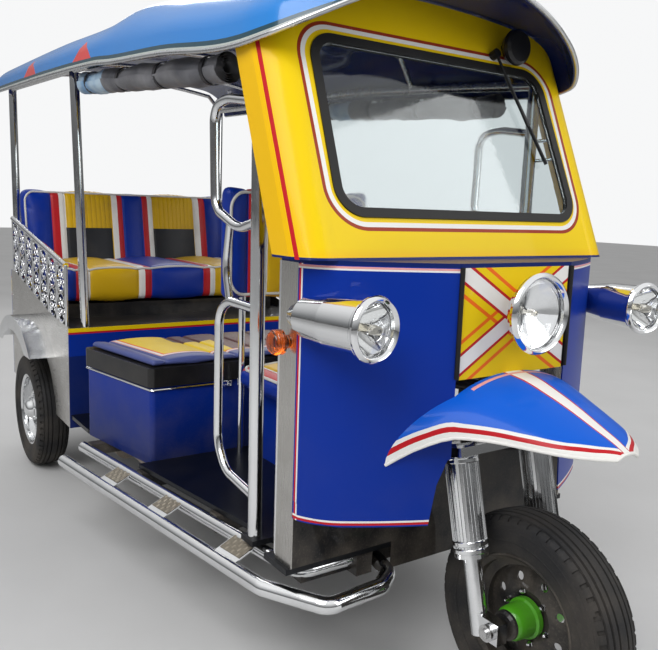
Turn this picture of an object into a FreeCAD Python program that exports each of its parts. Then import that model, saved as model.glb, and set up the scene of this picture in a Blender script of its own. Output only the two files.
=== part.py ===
import FreeCAD, Part
import math
import os
from FreeCAD import Vector

os.makedirs("parts", exist_ok=True)

# Auto rickshaw of the open Thai type: one steered front wheel, two driven rear wheels.
# Millimetres, +X forward, +Y to the vehicle's left, +Z up.
# Everything is modelled with x = 0 at the front axle and moved to the middle of its length at the end.

# Wheels and running gear
TYRE_R = 260.0
TYRE_W = 135.0
RIM_R = 152.0
RIM_W = 112.0
WHEELBASE = 2450.0
DRAWN_WHEELBASE = 2450.0
CABIN_FRONT = -600.0
TRACK_HALF = 565.0
REAR_OVERHANG = 540.0
STUB_R = 20.0
FRONT_AXLE_R = 12.0
RUNNING_GAP = 0.05
SEAT_GAP = 0.3


def cabin(x):
    """Station of a piece behind the driver's door post, moved as the wheelbase grows or shrinks."""
    if x < -DRAWN_WHEELBASE:
        return x + DRAWN_WHEELBASE - WHEELBASE
    return CABIN_FRONT + (x - CABIN_FRONT) * (WHEELBASE + CABIN_FRONT) / (DRAWN_WHEELBASE + CABIN_FRONT)


# Steering
RAKE = math.radians(14.0)
LEG_BACK = 48.0
LEG_Y = 131.0
LEG_UPPER_R = 37.0
LEG_LOWER_R = 22.0
STEM_R = 16.0
YOKE_AT = 400.0
YOKE_T = 22.0
HEAD_TUBE_R = 30.0
HEAD_TUBE_L = 165.0
HEAD_TUBE_AT = YOKE_AT + YOKE_T + SEAT_GAP
NECK_X = -388.0
NECK_HALF = 112.0
NECK_TOP = 796.0
BAR_AT = 770.0
BAR_R = 12.0

# Chassis and floor
RAIL_Y = 260.0
RAIL_W = 50.0
RAIL_TOP = 345.0
RAIL_H = 62.0
KICK_UP = 115.0
FLOOR_T = 15.0
FLOOR_HALF = 505.0
FLOOR_FRONT = -330.0
BULKHEAD_T = 4.0
BULKHEAD_TOP = 660.0

# Cowl, centre panel and windscreen
SHEET = 4.0
COWL_BOTTOM = 490.0
COWL_TOP = 1103.0
COWL_FRONT_X = -116.0
CENTRE_HALF = 190.0
CENTRE_BOTTOM = 842.0
CORNER_X = -288.0
CORNER_Y = 490.0
COWL_BACK_X = -330.0
JAMB_BACK_X = -405.0
SCUTTLE_T = 10.0
SCREEN_RAKE = math.radians(22.2)
SCREEN_BOTTOM_X = -247.0
SURROUND_T = 12.0
SURROUND_HALF = 532.0
SURROUND_FLAT = 440.0
SURROUND_WRAP = 62.0
SURROUND_RETURN = 75.0
WINDOW_LOW = 103.0
WINDOW_HIGH = 573.0
WINDOW_LOW_HALF = 419.0
WINDOW_HIGH_HALF = 408.0
WINDOW_ROUND = 75.0
GASKET_W = 24.0
GLASS_T = 5.0

# Front mudguard
GUARD_T = 4.0
GUARD_RIDGE_BACK = 852.0
GUARD_TIP_X = 216.0
GUARD_TIP_Z = 736.0

# Rear mudguards
GUARD_REACH = 180.0
GUARD_FLANK = 64.0
GUARD_END = 120.0

# Lamps
LAMP_X = -42.0
LAMP_Z = 998.0
LAMP_R = 94.0
SIDE_LAMP_X = -72.0
SIDE_LAMP_Y = 464.0
SIDE_LAMP_Z = 985.0
SIDE_LAMP_R = 68.0
SIDE_LAMP_L = 250.0
SIDE_LAMP_TOE = math.radians(10.0)

# Posts, hoops and running boards
POST_X = -541.0
POST_Y = 476.0
POST_R = 19.0
STAND_R = 9.0
REAR_POST_X = cabin(-1910.0) - 25.0
REAR_POST_Y = 505.0
HOOP_R = 13.0
BOARD_OUTER_R = 22.0
BOARD_INNER_R = 19.0
BOARD_Z = 281.0
BOARD_RISE = 42.0
BOARD_STEP = 72.0
BOARD_FRONT_Y = 522.0
BOARD_TURN_X = -420.0
BOARD_BACK_X = cabin(-1600.0)
BOARD_SPLAY = math.radians(8.1)

# Roof
ROOF_T = 14.0
VISOR_TIP_X = -276.0
ROOF_SIDE_R = 15.0
ROOF_RAIL_FRONT = -500.0
CURTAIN_R = 44.0

# Seats and boxes
BENCH_X = cabin(-1910.0)
SIDE_HALF = 580.0
DECK_Z = 715.0
BODY_BACK = cabin(-2930.0)
PANEL_T = 5.0
ENGINE_BOX_FRONT = cabin(-1225.0)
ENGINE_BOX_BACK = cabin(-1680.0)
ENGINE_BOX_HALF = FLOOR_HALF - 7.0
ENGINE_BOX_REAR_HALF = SIDE_HALF - 2.0
LID_SKIRT = 39.0
LID_ROOM = 5.0
LID_WALL = 6.0
ENGINE_BOX_TOP = 655.0
LID_T = 26.0
LID_PAD_T = 22.0
PEDESTAL_TOP = 600.0
PLINTH_H = 60.0
BENCH_T = 168.0
ARCH_R = TYRE_R + 72.0
BACKREST_FRONT_LOW = (cabin(-2730.0), 875.0)
BACKREST_FRONT_TOP = (cabin(-2800.0), 1268.0)
BACKREST_REAR_TOP = (cabin(-2872.0), 1268.0)
BACKREST_REAR_LOW = (cabin(-2830.0), 875.0)
CUSHION_T = 80.0
SEAT_FRONT = cabin(-790.0)
SEAT_BACK = cabin(-1160.0)
UPRIGHT_X = cabin(-1176.0)
UPRIGHT_R = 12.0
ENGINE_FRONT = cabin(-1290.0)
ENGINE_BACK = cabin(-1610.0)
LID_PIVOT_BACK = 12.0
LID_PIVOT_DROP = 14.0
LID_PIN_R = 5.0
TOW_EYE_R = 13.0
PLATE_HOLE_R = 3.5
PLATE_HOLE_Y = 120.0
PLATE_LOW = 470.0

REAR_AXLE_X = -WHEELBASE
FLOOR_TOP = RAIL_TOP + FLOOR_T
OVERALL = TYRE_R + WHEELBASE + REAR_OVERHANG
SHIFT = OVERALL / 2.0 - TYRE_R

X_AXIS = Vector(1, 0, 0)
Y_AXIS = Vector(0, 1, 0)
Z_AXIS = Vector(0, 0, 1)
STEER_UP = Vector(-math.sin(RAKE), 0, math.cos(RAKE))
STEER_FOOT = Vector(-LEG_BACK, 0, TYRE_R)


def box(x_low, x_high, y_low, y_high, z_low, z_high):
    """Block between three pairs of coordinates."""
    return Part.makeBox(x_high - x_low, y_high - y_low, z_high - z_low, Vector(x_low, y_low, z_low))


def rod(start, end, radius):
    """Round bar from one point to another."""
    run = end - start
    return Part.makeCylinder(radius, run.Length, start, run)


def pipe(start, end, outer, inner):
    """Round tube with an open bore."""
    return rod(start, end, outer).cut(rod(start, end, inner))


def bent_rod(points, radius, bend):
    """Round bar along straight runs joined by tangent arcs of one bend radius."""
    edges = []
    here = points[0]
    for before, corner, after in zip(points, points[1:], points[2:]):
        back = (before - corner).normalize()
        ahead = (after - corner).normalize()
        half = back.getAngle(ahead) / 2.0
        cut = bend / math.tan(half)
        leave = corner + back * cut
        join = corner + ahead * cut
        middle = (back + ahead).normalize()
        crest = corner + middle * (bend / math.sin(half) - bend)
        edges.append(Part.LineSegment(here, leave).toShape())
        edges.append(Part.Arc(leave, crest, join).toShape())
        here = join
    edges.append(Part.LineSegment(here, points[-1]).toShape())
    path = Part.Wire(edges)
    start_run = points[1] - points[0]
    section = Part.Wire(Part.makeCircle(radius, points[0], start_run))
    return path.makePipeShell([section], True, False)


def plate(points, normal_shift):
    """Flat plate: a polygon of corner points pushed along one vector."""
    outline = Part.makePolygon(points + [points[0]])
    return Part.Face(outline).extrude(normal_shift)


def side_plate(outline, y_low, y_high):
    """Plate drawn in side view as (x, z) corners, spanning y_low to y_high."""
    points = [Vector(x, y_low, z) for x, z in outline]
    return plate(points, Vector(0, y_high - y_low, 0))


def mirrored(shape):
    """The same piece on the other side of the vehicle."""
    return shape.mirror(Vector(0, 0, 0), Y_AXIS)


def both_sides(shape):
    """A left-hand piece and its mirror image."""
    return Part.makeCompound([shape, mirrored(shape)])


def upright_edges(shape):
    """Straight vertical edges of a block."""
    return [edge for edge in shape.Edges if abs(edge.tangentAt(edge.FirstParameter).z) > 0.9]


def fused(shapes):
    """One solid from several that touch or cross."""
    return shapes[0].fuse(shapes[1:]).removeSplitter()


def lathe(outline, centre, axis):
    """Solid turned from (along, radius) corners about an axis through centre."""
    points = [Vector(radius, 0, along) for along, radius in outline]
    face = Part.Face(Part.makePolygon(points + [points[0]]))
    solid = face.revolve(Vector(0, 0, 0), Z_AXIS, 360)
    solid.Placement = FreeCAD.Placement(centre, FreeCAD.Rotation(Z_AXIS, axis))
    return solid


def arc_through(first, middle, last):
    """Circular edge through three points."""
    return Part.Arc(first, middle, last).toShape()


def line(first, last):
    """Straight edge."""
    return Part.LineSegment(first, last).toShape()


def export(name, shape):
    """Move a finished piece to the shared frame and write it."""
    placed = shape.copy()
    placed.translate(Vector(SHIFT, 0, 0))
    placed.exportStep("parts/" + name + ".step")


# Wheels

def tyre(centre):
    """Tyre with round shoulders, turned about the axle."""
    half = TYRE_W / 2.0
    bead_half = RIM_W / 2.0 - 8.0
    crown_half = half - 18.0
    bulge_r = (RIM_R + TYRE_R) / 2.0

    def at(along, radius):
        return Vector(radius, 0, along)

    edges = [
        line(at(-bead_half, RIM_R), at(bead_half, RIM_R)),
        arc_through(at(bead_half, RIM_R), at(half, bulge_r), at(crown_half, TYRE_R - 8.0)),
        arc_through(at(crown_half, TYRE_R - 8.0), at(0, TYRE_R), at(-crown_half, TYRE_R - 8.0)),
        arc_through(at(-crown_half, TYRE_R - 8.0), at(-half, bulge_r), at(-bead_half, RIM_R)),
    ]
    solid = Part.Face(Part.Wire(edges)).revolve(Vector(0, 0, 0), Z_AXIS, 360)
    solid.Placement = FreeCAD.Placement(centre, FreeCAD.Rotation(Z_AXIS, Y_AXIS))
    return solid


def rim(centre, bore_r, hub_r, hub_out, hub_in, disc_at, side):
    """Pressed wheel turned in one outline: hub, dished disc and dropped well, then vented."""
    wall = 4.0
    lip = RIM_W / 2.0
    bead = lip - 8.0
    well_r = RIM_R - 22.0
    well_in = well_r - wall
    seat_in = RIM_R - wall
    outline = [
        (-hub_in, bore_r), (hub_out, bore_r), (hub_out, hub_r - 6.0), (hub_out - 6.0, hub_r),
        (disc_at + 3.0, hub_r), (disc_at + 16.0, hub_r + 30.0), (disc_at + 3.0, well_in - 6.0),
        (disc_at + 3.0, well_in), (bead * 0.4, well_in), (bead * 0.55, seat_in), (bead + 1.0, seat_in),
        (lip, RIM_R + 4.0), (lip, RIM_R + 10.0), (lip - 4.0, RIM_R + 10.0), (bead, RIM_R), (bead * 0.6, RIM_R),
        (bead * 0.45, well_r), (-bead * 0.45, well_r), (-bead * 0.6, RIM_R), (-bead, RIM_R),
        (-lip + 4.0, RIM_R + 10.0), (-lip, RIM_R + 10.0), (-lip, RIM_R + 4.0), (-bead - 1.0, seat_in),
        (-bead * 0.55, seat_in), (-bead * 0.4, well_in), (disc_at - 3.0, well_in), (disc_at - 3.0, well_in - 6.0),
        (disc_at + 10.0, hub_r + 30.0), (disc_at - 3.0, hub_r), (-hub_in, hub_r),
    ]
    axis = Y_AXIS * side
    wheel = lathe(outline, centre, axis)
    vents = 8
    vent_r = 11.0
    vent_at = (hub_r + 30.0 + well_in) / 2.0
    for index in range(vents):
        angle = math.radians(360.0 * (index + 0.5) / vents)
        start = centre + Vector(math.cos(angle), 0, math.sin(angle)) * vent_at
        wheel = wheel.cut(rod(start, start + axis * 60.0, vent_r))
    return wheel


# Steering

def on_steering(along, forward=0.0, left=0.0):
    """Point given along the steering axis, ahead of it and to its left."""
    ahead = Vector(math.cos(RAKE), 0, math.sin(RAKE))
    return STEER_FOOT + STEER_UP * along + ahead * forward + Vector(0, left, 0)


def fork():
    """Two sliding legs with leading axle lugs, two yokes and the stem."""
    pieces = []
    for side in (-1, 1):
        y = side * LEG_Y
        pieces.append(rod(on_steering(-30, 0, y), on_steering(200, 0, y), LEG_LOWER_R))
        pieces.append(rod(on_steering(165, 0, y), on_steering(YOKE_AT + YOKE_T + 8.0, 0, y), LEG_UPPER_R))
        pieces.append(rod(on_steering(155, 0, y), on_steering(166, 0, y), LEG_UPPER_R + 4.0))
        lug = box(-LEG_BACK - 4.0, 26.0, y - 16.0, y + 16.0, TYRE_R - 26.0, TYRE_R + 26.0)
        pieces.append(lug)
    low_yoke = box(-46, 52, -LEG_Y - 46, LEG_Y + 46, 0, YOKE_T)
    low_yoke.Placement = FreeCAD.Placement(on_steering(YOKE_AT), FreeCAD.Rotation(Z_AXIS, STEER_UP))
    pieces.append(low_yoke)
    pieces.append(rod(on_steering(YOKE_AT), on_steering(BAR_AT - 14.0), STEM_R))
    body = fused(pieces)
    axle_hole = rod(Vector(0, -LEG_Y - 60, TYRE_R), Vector(0, LEG_Y + 60, TYRE_R), FRONT_AXLE_R)
    return body.cut(axle_hole)


def front_axle():
    """Through axle with a nut at each end."""
    reach = LEG_Y + 16.0
    pieces = [rod(Vector(0, -reach - 22, TYRE_R), Vector(0, reach + 22, TYRE_R), FRONT_AXLE_R)]
    for side in (-1, 1):
        start = Vector(0, side * reach, TYRE_R)
        pieces.append(rod(start, start + Vector(0, side * 14, 0), 20.0))
    return fused(pieces)


def handlebar():
    """Swept bar with clamp; the grips are a node of their own."""
    clamp = rod(on_steering(BAR_AT - 14.0), on_steering(BAR_AT + 16.0), 24.0)
    bar = bent_rod(handlebar_points(), BAR_R, 55.0)
    return fused([clamp, bar])


def handlebar_points():
    """Route of the bar from the right grip's end to the left one."""
    centre = on_steering(BAR_AT)
    half = [Vector(-262, 296, 10), Vector(-150, 262, 22), Vector(0, 110, 0)]
    left = [centre + spot for spot in half]
    right = [Vector(spot.x, -spot.y, spot.z) for spot in left]
    return left + right[::-1]


def grips():
    """Rubber sleeves on the bar ends."""
    end, inner = handlebar_points()[0:2]
    run = (inner - end).normalize()
    start = end + run * -4.0
    sleeve = rod(start, start + run * 98.0, BAR_R + 5.0).cut(rod(end, end + run * 110.0, BAR_R))
    return both_sides(sleeve)


# Chassis

def board_inner_y(x):
    """Distance of the running board's inner tube from the middle plane at a station."""
    return board_outer_y(x) - BOARD_STEP


def board_outer_y(x):
    """Distance of the running board's outer tube from the middle plane at a station."""
    return BOARD_FRONT_Y + (BOARD_TURN_X - x) * math.tan(BOARD_SPLAY)


def chassis():
    """Ladder frame that rises over the rear axle, with a tubular neck that holds the steering head."""
    low = RAIL_TOP - RAIL_H
    kick_front = REAR_AXLE_X + 330.0
    kick_back = kick_front - 120.0
    front = FLOOR_FRONT - 10.0
    end = BODY_BACK + 25.0
    outline = [
        (front, low), (kick_front, low), (kick_back, low + KICK_UP), (end, low + KICK_UP),
        (end, RAIL_TOP + KICK_UP), (kick_back + 12.0, RAIL_TOP + KICK_UP), (kick_front + 12.0, RAIL_TOP),
        (front, RAIL_TOP),
    ]
    inner = RAIL_Y - RAIL_W / 2.0
    outer = RAIL_Y + RAIL_W / 2.0
    pieces = [side_plate(outline, inner, outer), side_plate(outline, -outer, -inner)]
    raised = RAIL_TOP + KICK_UP
    # columns: x of the middle, top z, height, half length across the vehicle
    cross_members = [
        (NECK_X, RAIL_TOP, 52.0, board_inner_y(NECK_X) - 6.0),
        (cabin(-760.0), RAIL_TOP, 52.0, board_inner_y(cabin(-760.0)) - 6.0),
        (cabin(-1190.0), RAIL_TOP, 52.0, board_inner_y(cabin(-1190.0)) - 6.0),
        (REAR_AXLE_X + 370.0, RAIL_TOP, 28.0, inner + 5.0), (REAR_AXLE_X - 190.0, raised, 52.0, inner + 5.0),
        (BODY_BACK + 45.0, raised, 52.0, SIDE_HALF - 12.0),
    ]
    for x, top, height, half in cross_members:
        pieces.append(box(x - 22, x + 22, -half, half, top - height, top))
    for side in (-1, 1):
        last_bracket = BOARD_BACK_X + 40.0
        spots = sorted((side * (outer - 5.0), side * (board_inner_y(last_bracket) - 6.0)))
        pieces.append(box(last_bracket - 22, last_bracket + 22, spots[0], spots[1], RAIL_TOP - 40.0, RAIL_TOP))
    head_low = on_steering(HEAD_TUBE_AT)
    head_high = on_steering(HEAD_TUBE_AT + HEAD_TUBE_L)
    pieces.append(rod(head_low, head_high, HEAD_TUBE_R))
    for side in (-1, 1):
        neck_y = side * NECK_HALF
        top = Vector(NECK_X, neck_y, NECK_TOP)
        pieces.append(rod(Vector(NECK_X, neck_y, RAIL_TOP - 20.0), top, 17.0))
        pieces.append(Part.makeSphere(17.0, top))
        pieces.append(rod(top, head_low + STEER_UP * (HEAD_TUBE_L - 40.0), 17.0))
        pieces.append(rod(Vector(NECK_X, neck_y, NECK_TOP - 90.0), head_low + STEER_UP * 48.0, 15.0))
    frame = fused(pieces)
    bore = rod(on_steering(YOKE_AT), on_steering(BAR_AT), STEM_R + RUNNING_GAP)
    return frame.cut(bore)


def box_side_y(x):
    """Distance of the engine cover's side from the middle plane: it widens to the rear with the body."""
    share = (ENGINE_BOX_FRONT - x) / (ENGINE_BOX_FRONT - ENGINE_BOX_BACK)
    return ENGINE_BOX_HALF + (ENGINE_BOX_REAR_HALF - ENGINE_BOX_HALF) * share


def flat_prism(spots, z_low, z_high):
    """Block with a plan given by the (x, y) corners of its left half, from front to rear."""
    corners = [Vector(x, y, z_low) for x, y in spots] + [Vector(x, -y, z_low) for x, y in reversed(spots)]
    return Part.Face(Part.makePolygon(corners + corners[:1])).extrude(Vector(0, 0, z_high - z_low))


def box_plan(grow, z_low, z_high, back):
    """Block over the engine cover's plan, grown all round but at the back."""
    front = ENGINE_BOX_FRONT + grow
    return flat_prism([(front, box_side_y(front) + grow), (back, box_side_y(back) + grow)], z_low, z_high)


def floor():
    """Flat cab floor: wide under the door jambs, then inside the running boards, with the engine's cut-out."""
    front = FLOOR_FRONT - 2.0
    waist = -440.0
    beside = 20.0
    box_front = ENGINE_BOX_FRONT + SEAT_GAP
    spots = [
        (front, FLOOR_HALF), (waist, FLOOR_HALF), (waist, board_inner_y(waist) - beside),
        (box_front, board_inner_y(box_front) - beside), (box_front, box_side_y(box_front) - SHEET - SEAT_GAP),
        (ENGINE_BOX_BACK, box_side_y(ENGINE_BOX_BACK) - SHEET - SEAT_GAP), (ENGINE_BOX_BACK, SIDE_HALF - 5.0),
        (BENCH_X, SIDE_HALF - 5.0),
    ]
    panel = flat_prism(spots, RAIL_TOP, FLOOR_TOP)
    foot = box(POST_X - 32, POST_X + 32, board_inner_y(waist) - 30, POST_Y + 24, RAIL_TOP, FLOOR_TOP)
    bay = box(ENGINE_BACK - 35, ENGINE_FRONT + 40, -205, 205, RAIL_TOP - 1, FLOOR_TOP + 1)
    return fused([panel, foot, mirrored(foot)]).cut(bay)


def engine():
    """Engine and gearbox as plain blocks hung between the rails."""
    block = box(ENGINE_BACK, ENGINE_FRONT, -165, 165, 262, 600)
    pan = box(ENGINE_BACK + 50, ENGINE_FRONT - 50, -110, 110, 205, 262)
    gearbox = box(ENGINE_BACK - 220, ENGINE_BACK, -75, 75, 240, RAIL_TOP - 6.0)
    inner = RAIL_Y - RAIL_W / 2.0
    middle = (ENGINE_FRONT + ENGINE_BACK) / 2.0
    ears = box(middle - 50, middle + 50, -inner, inner, 300, 325)
    return fused([block, pan, gearbox, ears])


def exhaust():
    """Pipe and silencer along the right rail."""
    y = -395.0
    z = 246.0
    bend_x = (ENGINE_FRONT + ENGINE_BACK) / 2.0 - 30.0
    silencer_x = cabin(-1755.0)
    head = bent_rod([Vector(bend_x, -110, z), Vector(bend_x, y, z), Vector(silencer_x - 5, y, z)], 18.0, 60.0)
    silencer = rod(Vector(silencer_x, y, z), Vector(silencer_x - 325, y, z), 52.0)
    strap = box(silencer_x - 235, silencer_x - 205, y, -RAIL_Y - RAIL_W / 2.0, z + 46, z + 54)
    return fused([head, silencer, strap])


def rear_axle():
    """Live axle with its propeller shaft: tubes, housing, brake plates and the wheel stubs."""
    z = TYRE_R
    plate_at = TRACK_HALF - RIM_W / 2.0 - 22.0
    tube = rod(Vector(REAR_AXLE_X, -plate_at, z), Vector(REAR_AXLE_X, plate_at, z), 33.0)
    housing = Part.makeSphere(92.0, Vector(REAR_AXLE_X, 0, z))
    nose_end = Vector(REAR_AXLE_X + 190.0, 0, z)
    nose = Part.makeCone(70, 42, 150, Vector(REAR_AXLE_X + 40, 0, z), X_AXIS)
    shaft_front = Vector(ENGINE_BACK - 220.0, 0, z + 30.0)
    run = (shaft_front - nose_end).normalize()
    shaft = rod(nose_end - run * 20.0, shaft_front, 22.0)
    joint = rod(nose_end, nose_end + run * 55.0, 34.0)
    pieces = [tube, housing, nose, shaft, joint]
    for side in (-1, 1):
        inner = Vector(REAR_AXLE_X, side * (plate_at - 8.0), z)
        pieces.append(rod(inner, inner + Vector(0, side * 12.0, 0), 105.0))
        stub_end = Vector(REAR_AXLE_X, side * (TRACK_HALF + 42.0), z)
        pieces.append(rod(inner, stub_end, STUB_R))
    return fused(pieces)


def leaf_springs():
    """Leaf packs under the tub, with eyes, hangers and the saddles on the axle."""
    y = RAIL_Y + RAIL_W / 2.0 + 45.0
    half_w = 24.0
    eye_x = 395.0
    eye_z = TYRE_R + 80.0
    sag = TYRE_R + 36.0
    pieces = []
    # columns: share of the main leaf's length, place in the pack
    for share, place in [(1.0, 0), (0.72, 1), (0.45, 2)]:
        top = place * -8.0
        reach = eye_x * share
        rise = (eye_z - sag) * share * share
        ends = []
        for lift in (0.0, 8.0):
            left = Vector(REAR_AXLE_X - reach, y - half_w, sag + 16.0 + top + rise + lift)
            mid = Vector(REAR_AXLE_X, y - half_w, sag + 16.0 + top + lift)
            right = Vector(REAR_AXLE_X + reach, y - half_w, sag + 16.0 + top + rise + lift)
            ends.append((left, mid, right))
        low, high = ends
        wire = Part.Wire([
            arc_through(low[0], low[1], low[2]), line(low[2], high[2]),
            arc_through(high[2], high[1], high[0]), line(high[0], low[0]),
        ])
        pieces.append(Part.Face(wire).extrude(Vector(0, 2 * half_w, 0)))
    eye_top = eye_z + 20.0
    for x in (REAR_AXLE_X - eye_x, REAR_AXLE_X + eye_x):
        start = Vector(x, RAIL_Y + RAIL_W / 2.0, eye_top)
        pieces.append(rod(start, Vector(x, y + half_w, eye_top), 13.0))
    shackle_x = REAR_AXLE_X - eye_x
    bracket = box(shackle_x - 15, shackle_x + 15, RAIL_Y + RAIL_W / 2.0, RAIL_Y + RAIL_W / 2.0 + 10.0,
                  eye_top, RAIL_TOP + KICK_UP - 20.0)
    pieces.append(bracket)
    clamp = box(REAR_AXLE_X - 45, REAR_AXLE_X + 45, y - half_w - 8, y + half_w + 8, TYRE_R + 20, sag + 34)
    pieces.append(clamp)
    pack = fused(pieces)
    return both_sides(pack).cut(rear_axle())


# Front body

def cowl_plan(inset=0.0, z=0.0):
    """Left half of the cowl's outline from above, from the centre panel's edge to the rear edge."""
    start = Vector(COWL_FRONT_X - inset, CENTRE_HALF, z)
    bow = Vector(COWL_FRONT_X - 49.0 - inset * 0.9, 300.0 - inset * 0.4, z)
    shoulder = Vector(CORNER_X + 58.0 - inset * 0.8, CORNER_Y - 72.0 - inset * 0.6, z)
    turn = Vector(CORNER_X + 13.0 - inset * 0.6, CORNER_Y - 22.0 - inset * 0.8, z)
    side = Vector(CORNER_X - 22.0, CORNER_Y - inset, z)
    back = Vector(COWL_BACK_X, CORNER_Y + 3.0 - inset, z)
    return [arc_through(start, bow, shoulder), arc_through(shoulder, turn, side), line(side, back)]


def cowl_band(z_low, z_high):
    """Left half of the cowl's sheet, straight up between two heights."""
    outer = cowl_plan(0.0, z_low)
    inner = cowl_plan(SHEET, z_low)
    outer_wire = Part.Wire(outer)
    inner_wire = Part.Wire(inner)
    start_out = Vector(COWL_FRONT_X, CENTRE_HALF, z_low)
    start_in = Vector(COWL_FRONT_X - SHEET, CENTRE_HALF, z_low)
    end_out = Vector(COWL_BACK_X, CORNER_Y + 3.0, z_low)
    end_in = Vector(COWL_BACK_X, CORNER_Y + 3.0 - SHEET, z_low)
    edges = outer_wire.Edges + [line(end_out, end_in)] + inner_wire.Edges + [line(start_in, start_out)]
    wire = Part.Wire(Part.sortEdges(edges)[0])
    return Part.Face(wire).extrude(Vector(0, 0, z_high - z_low))


def cowl():
    """Blue front: two wrapped sheets whose lower edge is cut away round the wheel."""
    band = cowl_band(COWL_BOTTOM, COWL_TOP)
    # seen from the front as (y, z): the wheel's opening and the round lower outer corner
    opening = [
        Vector(0, CENTRE_HALF - 20, COWL_BOTTOM - 10), Vector(0, 236, COWL_BOTTOM - 10),
        Vector(0, 220, 590), Vector(0, CENTRE_HALF + 8, 650), Vector(0, CENTRE_HALF - 20, 660),
    ]
    wheel_cut = plate([Vector(-400, p.y, p.z) for p in opening], Vector(400, 0, 0))
    lower = 70.0
    corner_box = box(-400, 0, CORNER_Y + 6 - lower, CORNER_Y + 40, COWL_BOTTOM - 10, COWL_BOTTOM + lower)
    corner_round = rod(Vector(-400, CORNER_Y + 6 - lower, COWL_BOTTOM + lower),
                       Vector(0, CORNER_Y + 6 - lower, COWL_BOTTOM + lower), lower)
    shell = band.cut(wheel_cut).cut(corner_box.cut(corner_round))
    shell = shell.cut(side_lamp_envelope())
    return both_sides(shell)


def centre_panel():
    """Flat panel under the headlamp, between the two halves of the cowl."""
    edge = CENTRE_HALF - SEAT_GAP
    return box(COWL_FRONT_X - SHEET, COWL_FRONT_X, -edge, edge, CENTRE_BOTTOM, COWL_TOP)


def front_bulkhead():
    """Black inner wall behind the wheel, from the floor up between the jambs."""
    half = CORNER_Y + 3.0 - SHEET
    x = FLOOR_FRONT
    upper = box(x - BULKHEAD_T, x, -half, half, FLOOR_TOP, BULKHEAD_TOP)
    skirt = box(x - 2.0, x, -180.0, 180.0, RAIL_TOP - 60, FLOOR_TOP)
    return fused([upper, skirt])


def jambs():
    """Stainless returns that close the cowl's sides back to the doorway."""
    front = COWL_BACK_X - SEAT_GAP
    outer = CORNER_Y + 3.0
    cheek = box(JAMB_BACK_X, front, outer - SHEET, outer, FLOOR_TOP, COWL_TOP)
    lip = box(JAMB_BACK_X, JAMB_BACK_X + SHEET, outer - 44.0, outer, FLOOR_TOP, COWL_TOP)
    return both_sides(fused([cheek, lip]))


def ledge():
    """Ledge over the cowl, open in the middle behind the windscreen."""
    left = cowl_plan(0.0, COWL_TOP)
    start = Vector(COWL_FRONT_X, CENTRE_HALF, COWL_TOP)
    back = Vector(COWL_BACK_X, CORNER_Y + 3.0, COWL_TOP)
    deep = Vector(JAMB_BACK_X, CORNER_Y + 3.0, COWL_TOP)
    right = [edge.mirror(Vector(0, 0, 0), Y_AXIS) for edge in left]
    edges = left + right + [
        line(start, Vector(start.x, -start.y, start.z)), line(back, deep),
        line(deep, Vector(deep.x, -deep.y, deep.z)),
        line(Vector(back.x, -back.y, back.z), Vector(deep.x, -deep.y, deep.z)),
    ]
    wire = Part.Wire(Part.sortEdges(edges)[0])
    slab = Part.Face(wire).extrude(Vector(0, 0, SCUTTLE_T))
    well = box(JAMB_BACK_X - 10, SCREEN_BOTTOM_X - 15.0, -430, 430, COWL_TOP - 1, COWL_TOP + SCUTTLE_T + 1)
    return slab.cut(well)


def screen_point(y, up):
    """Point on the windscreen's outer face: sideways, and up along the rake."""
    base = Vector(SCREEN_BOTTOM_X, 0, COWL_TOP + SCUTTLE_T)
    return base + Vector(-math.sin(SCREEN_RAKE) * up, y, math.cos(SCREEN_RAKE) * up)


def screen_normal():
    """Direction the windscreen faces."""
    return Vector(math.cos(SCREEN_RAKE), 0, math.sin(SCREEN_RAKE))


def window_solid(shrink, front, back):
    """Rounded window shape in the screen's plane, from front to back of that plane."""
    low = WINDOW_LOW + shrink
    high = WINDOW_HIGH - shrink
    low_half = WINDOW_LOW_HALF - shrink
    high_half = WINDOW_HIGH_HALF - shrink
    out = screen_normal() * front
    corners = [
        screen_point(-low_half, low) + out, screen_point(low_half, low) + out,
        screen_point(high_half, high) + out, screen_point(-high_half, high) + out,
    ]
    solid = plate(corners, screen_normal() * (back - front))
    upright = [edge for edge in solid.Edges if abs(edge.tangentAt(edge.FirstParameter).dot(screen_normal())) > 0.99]
    return solid.makeFillet(WINDOW_ROUND - shrink, upright)


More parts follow.
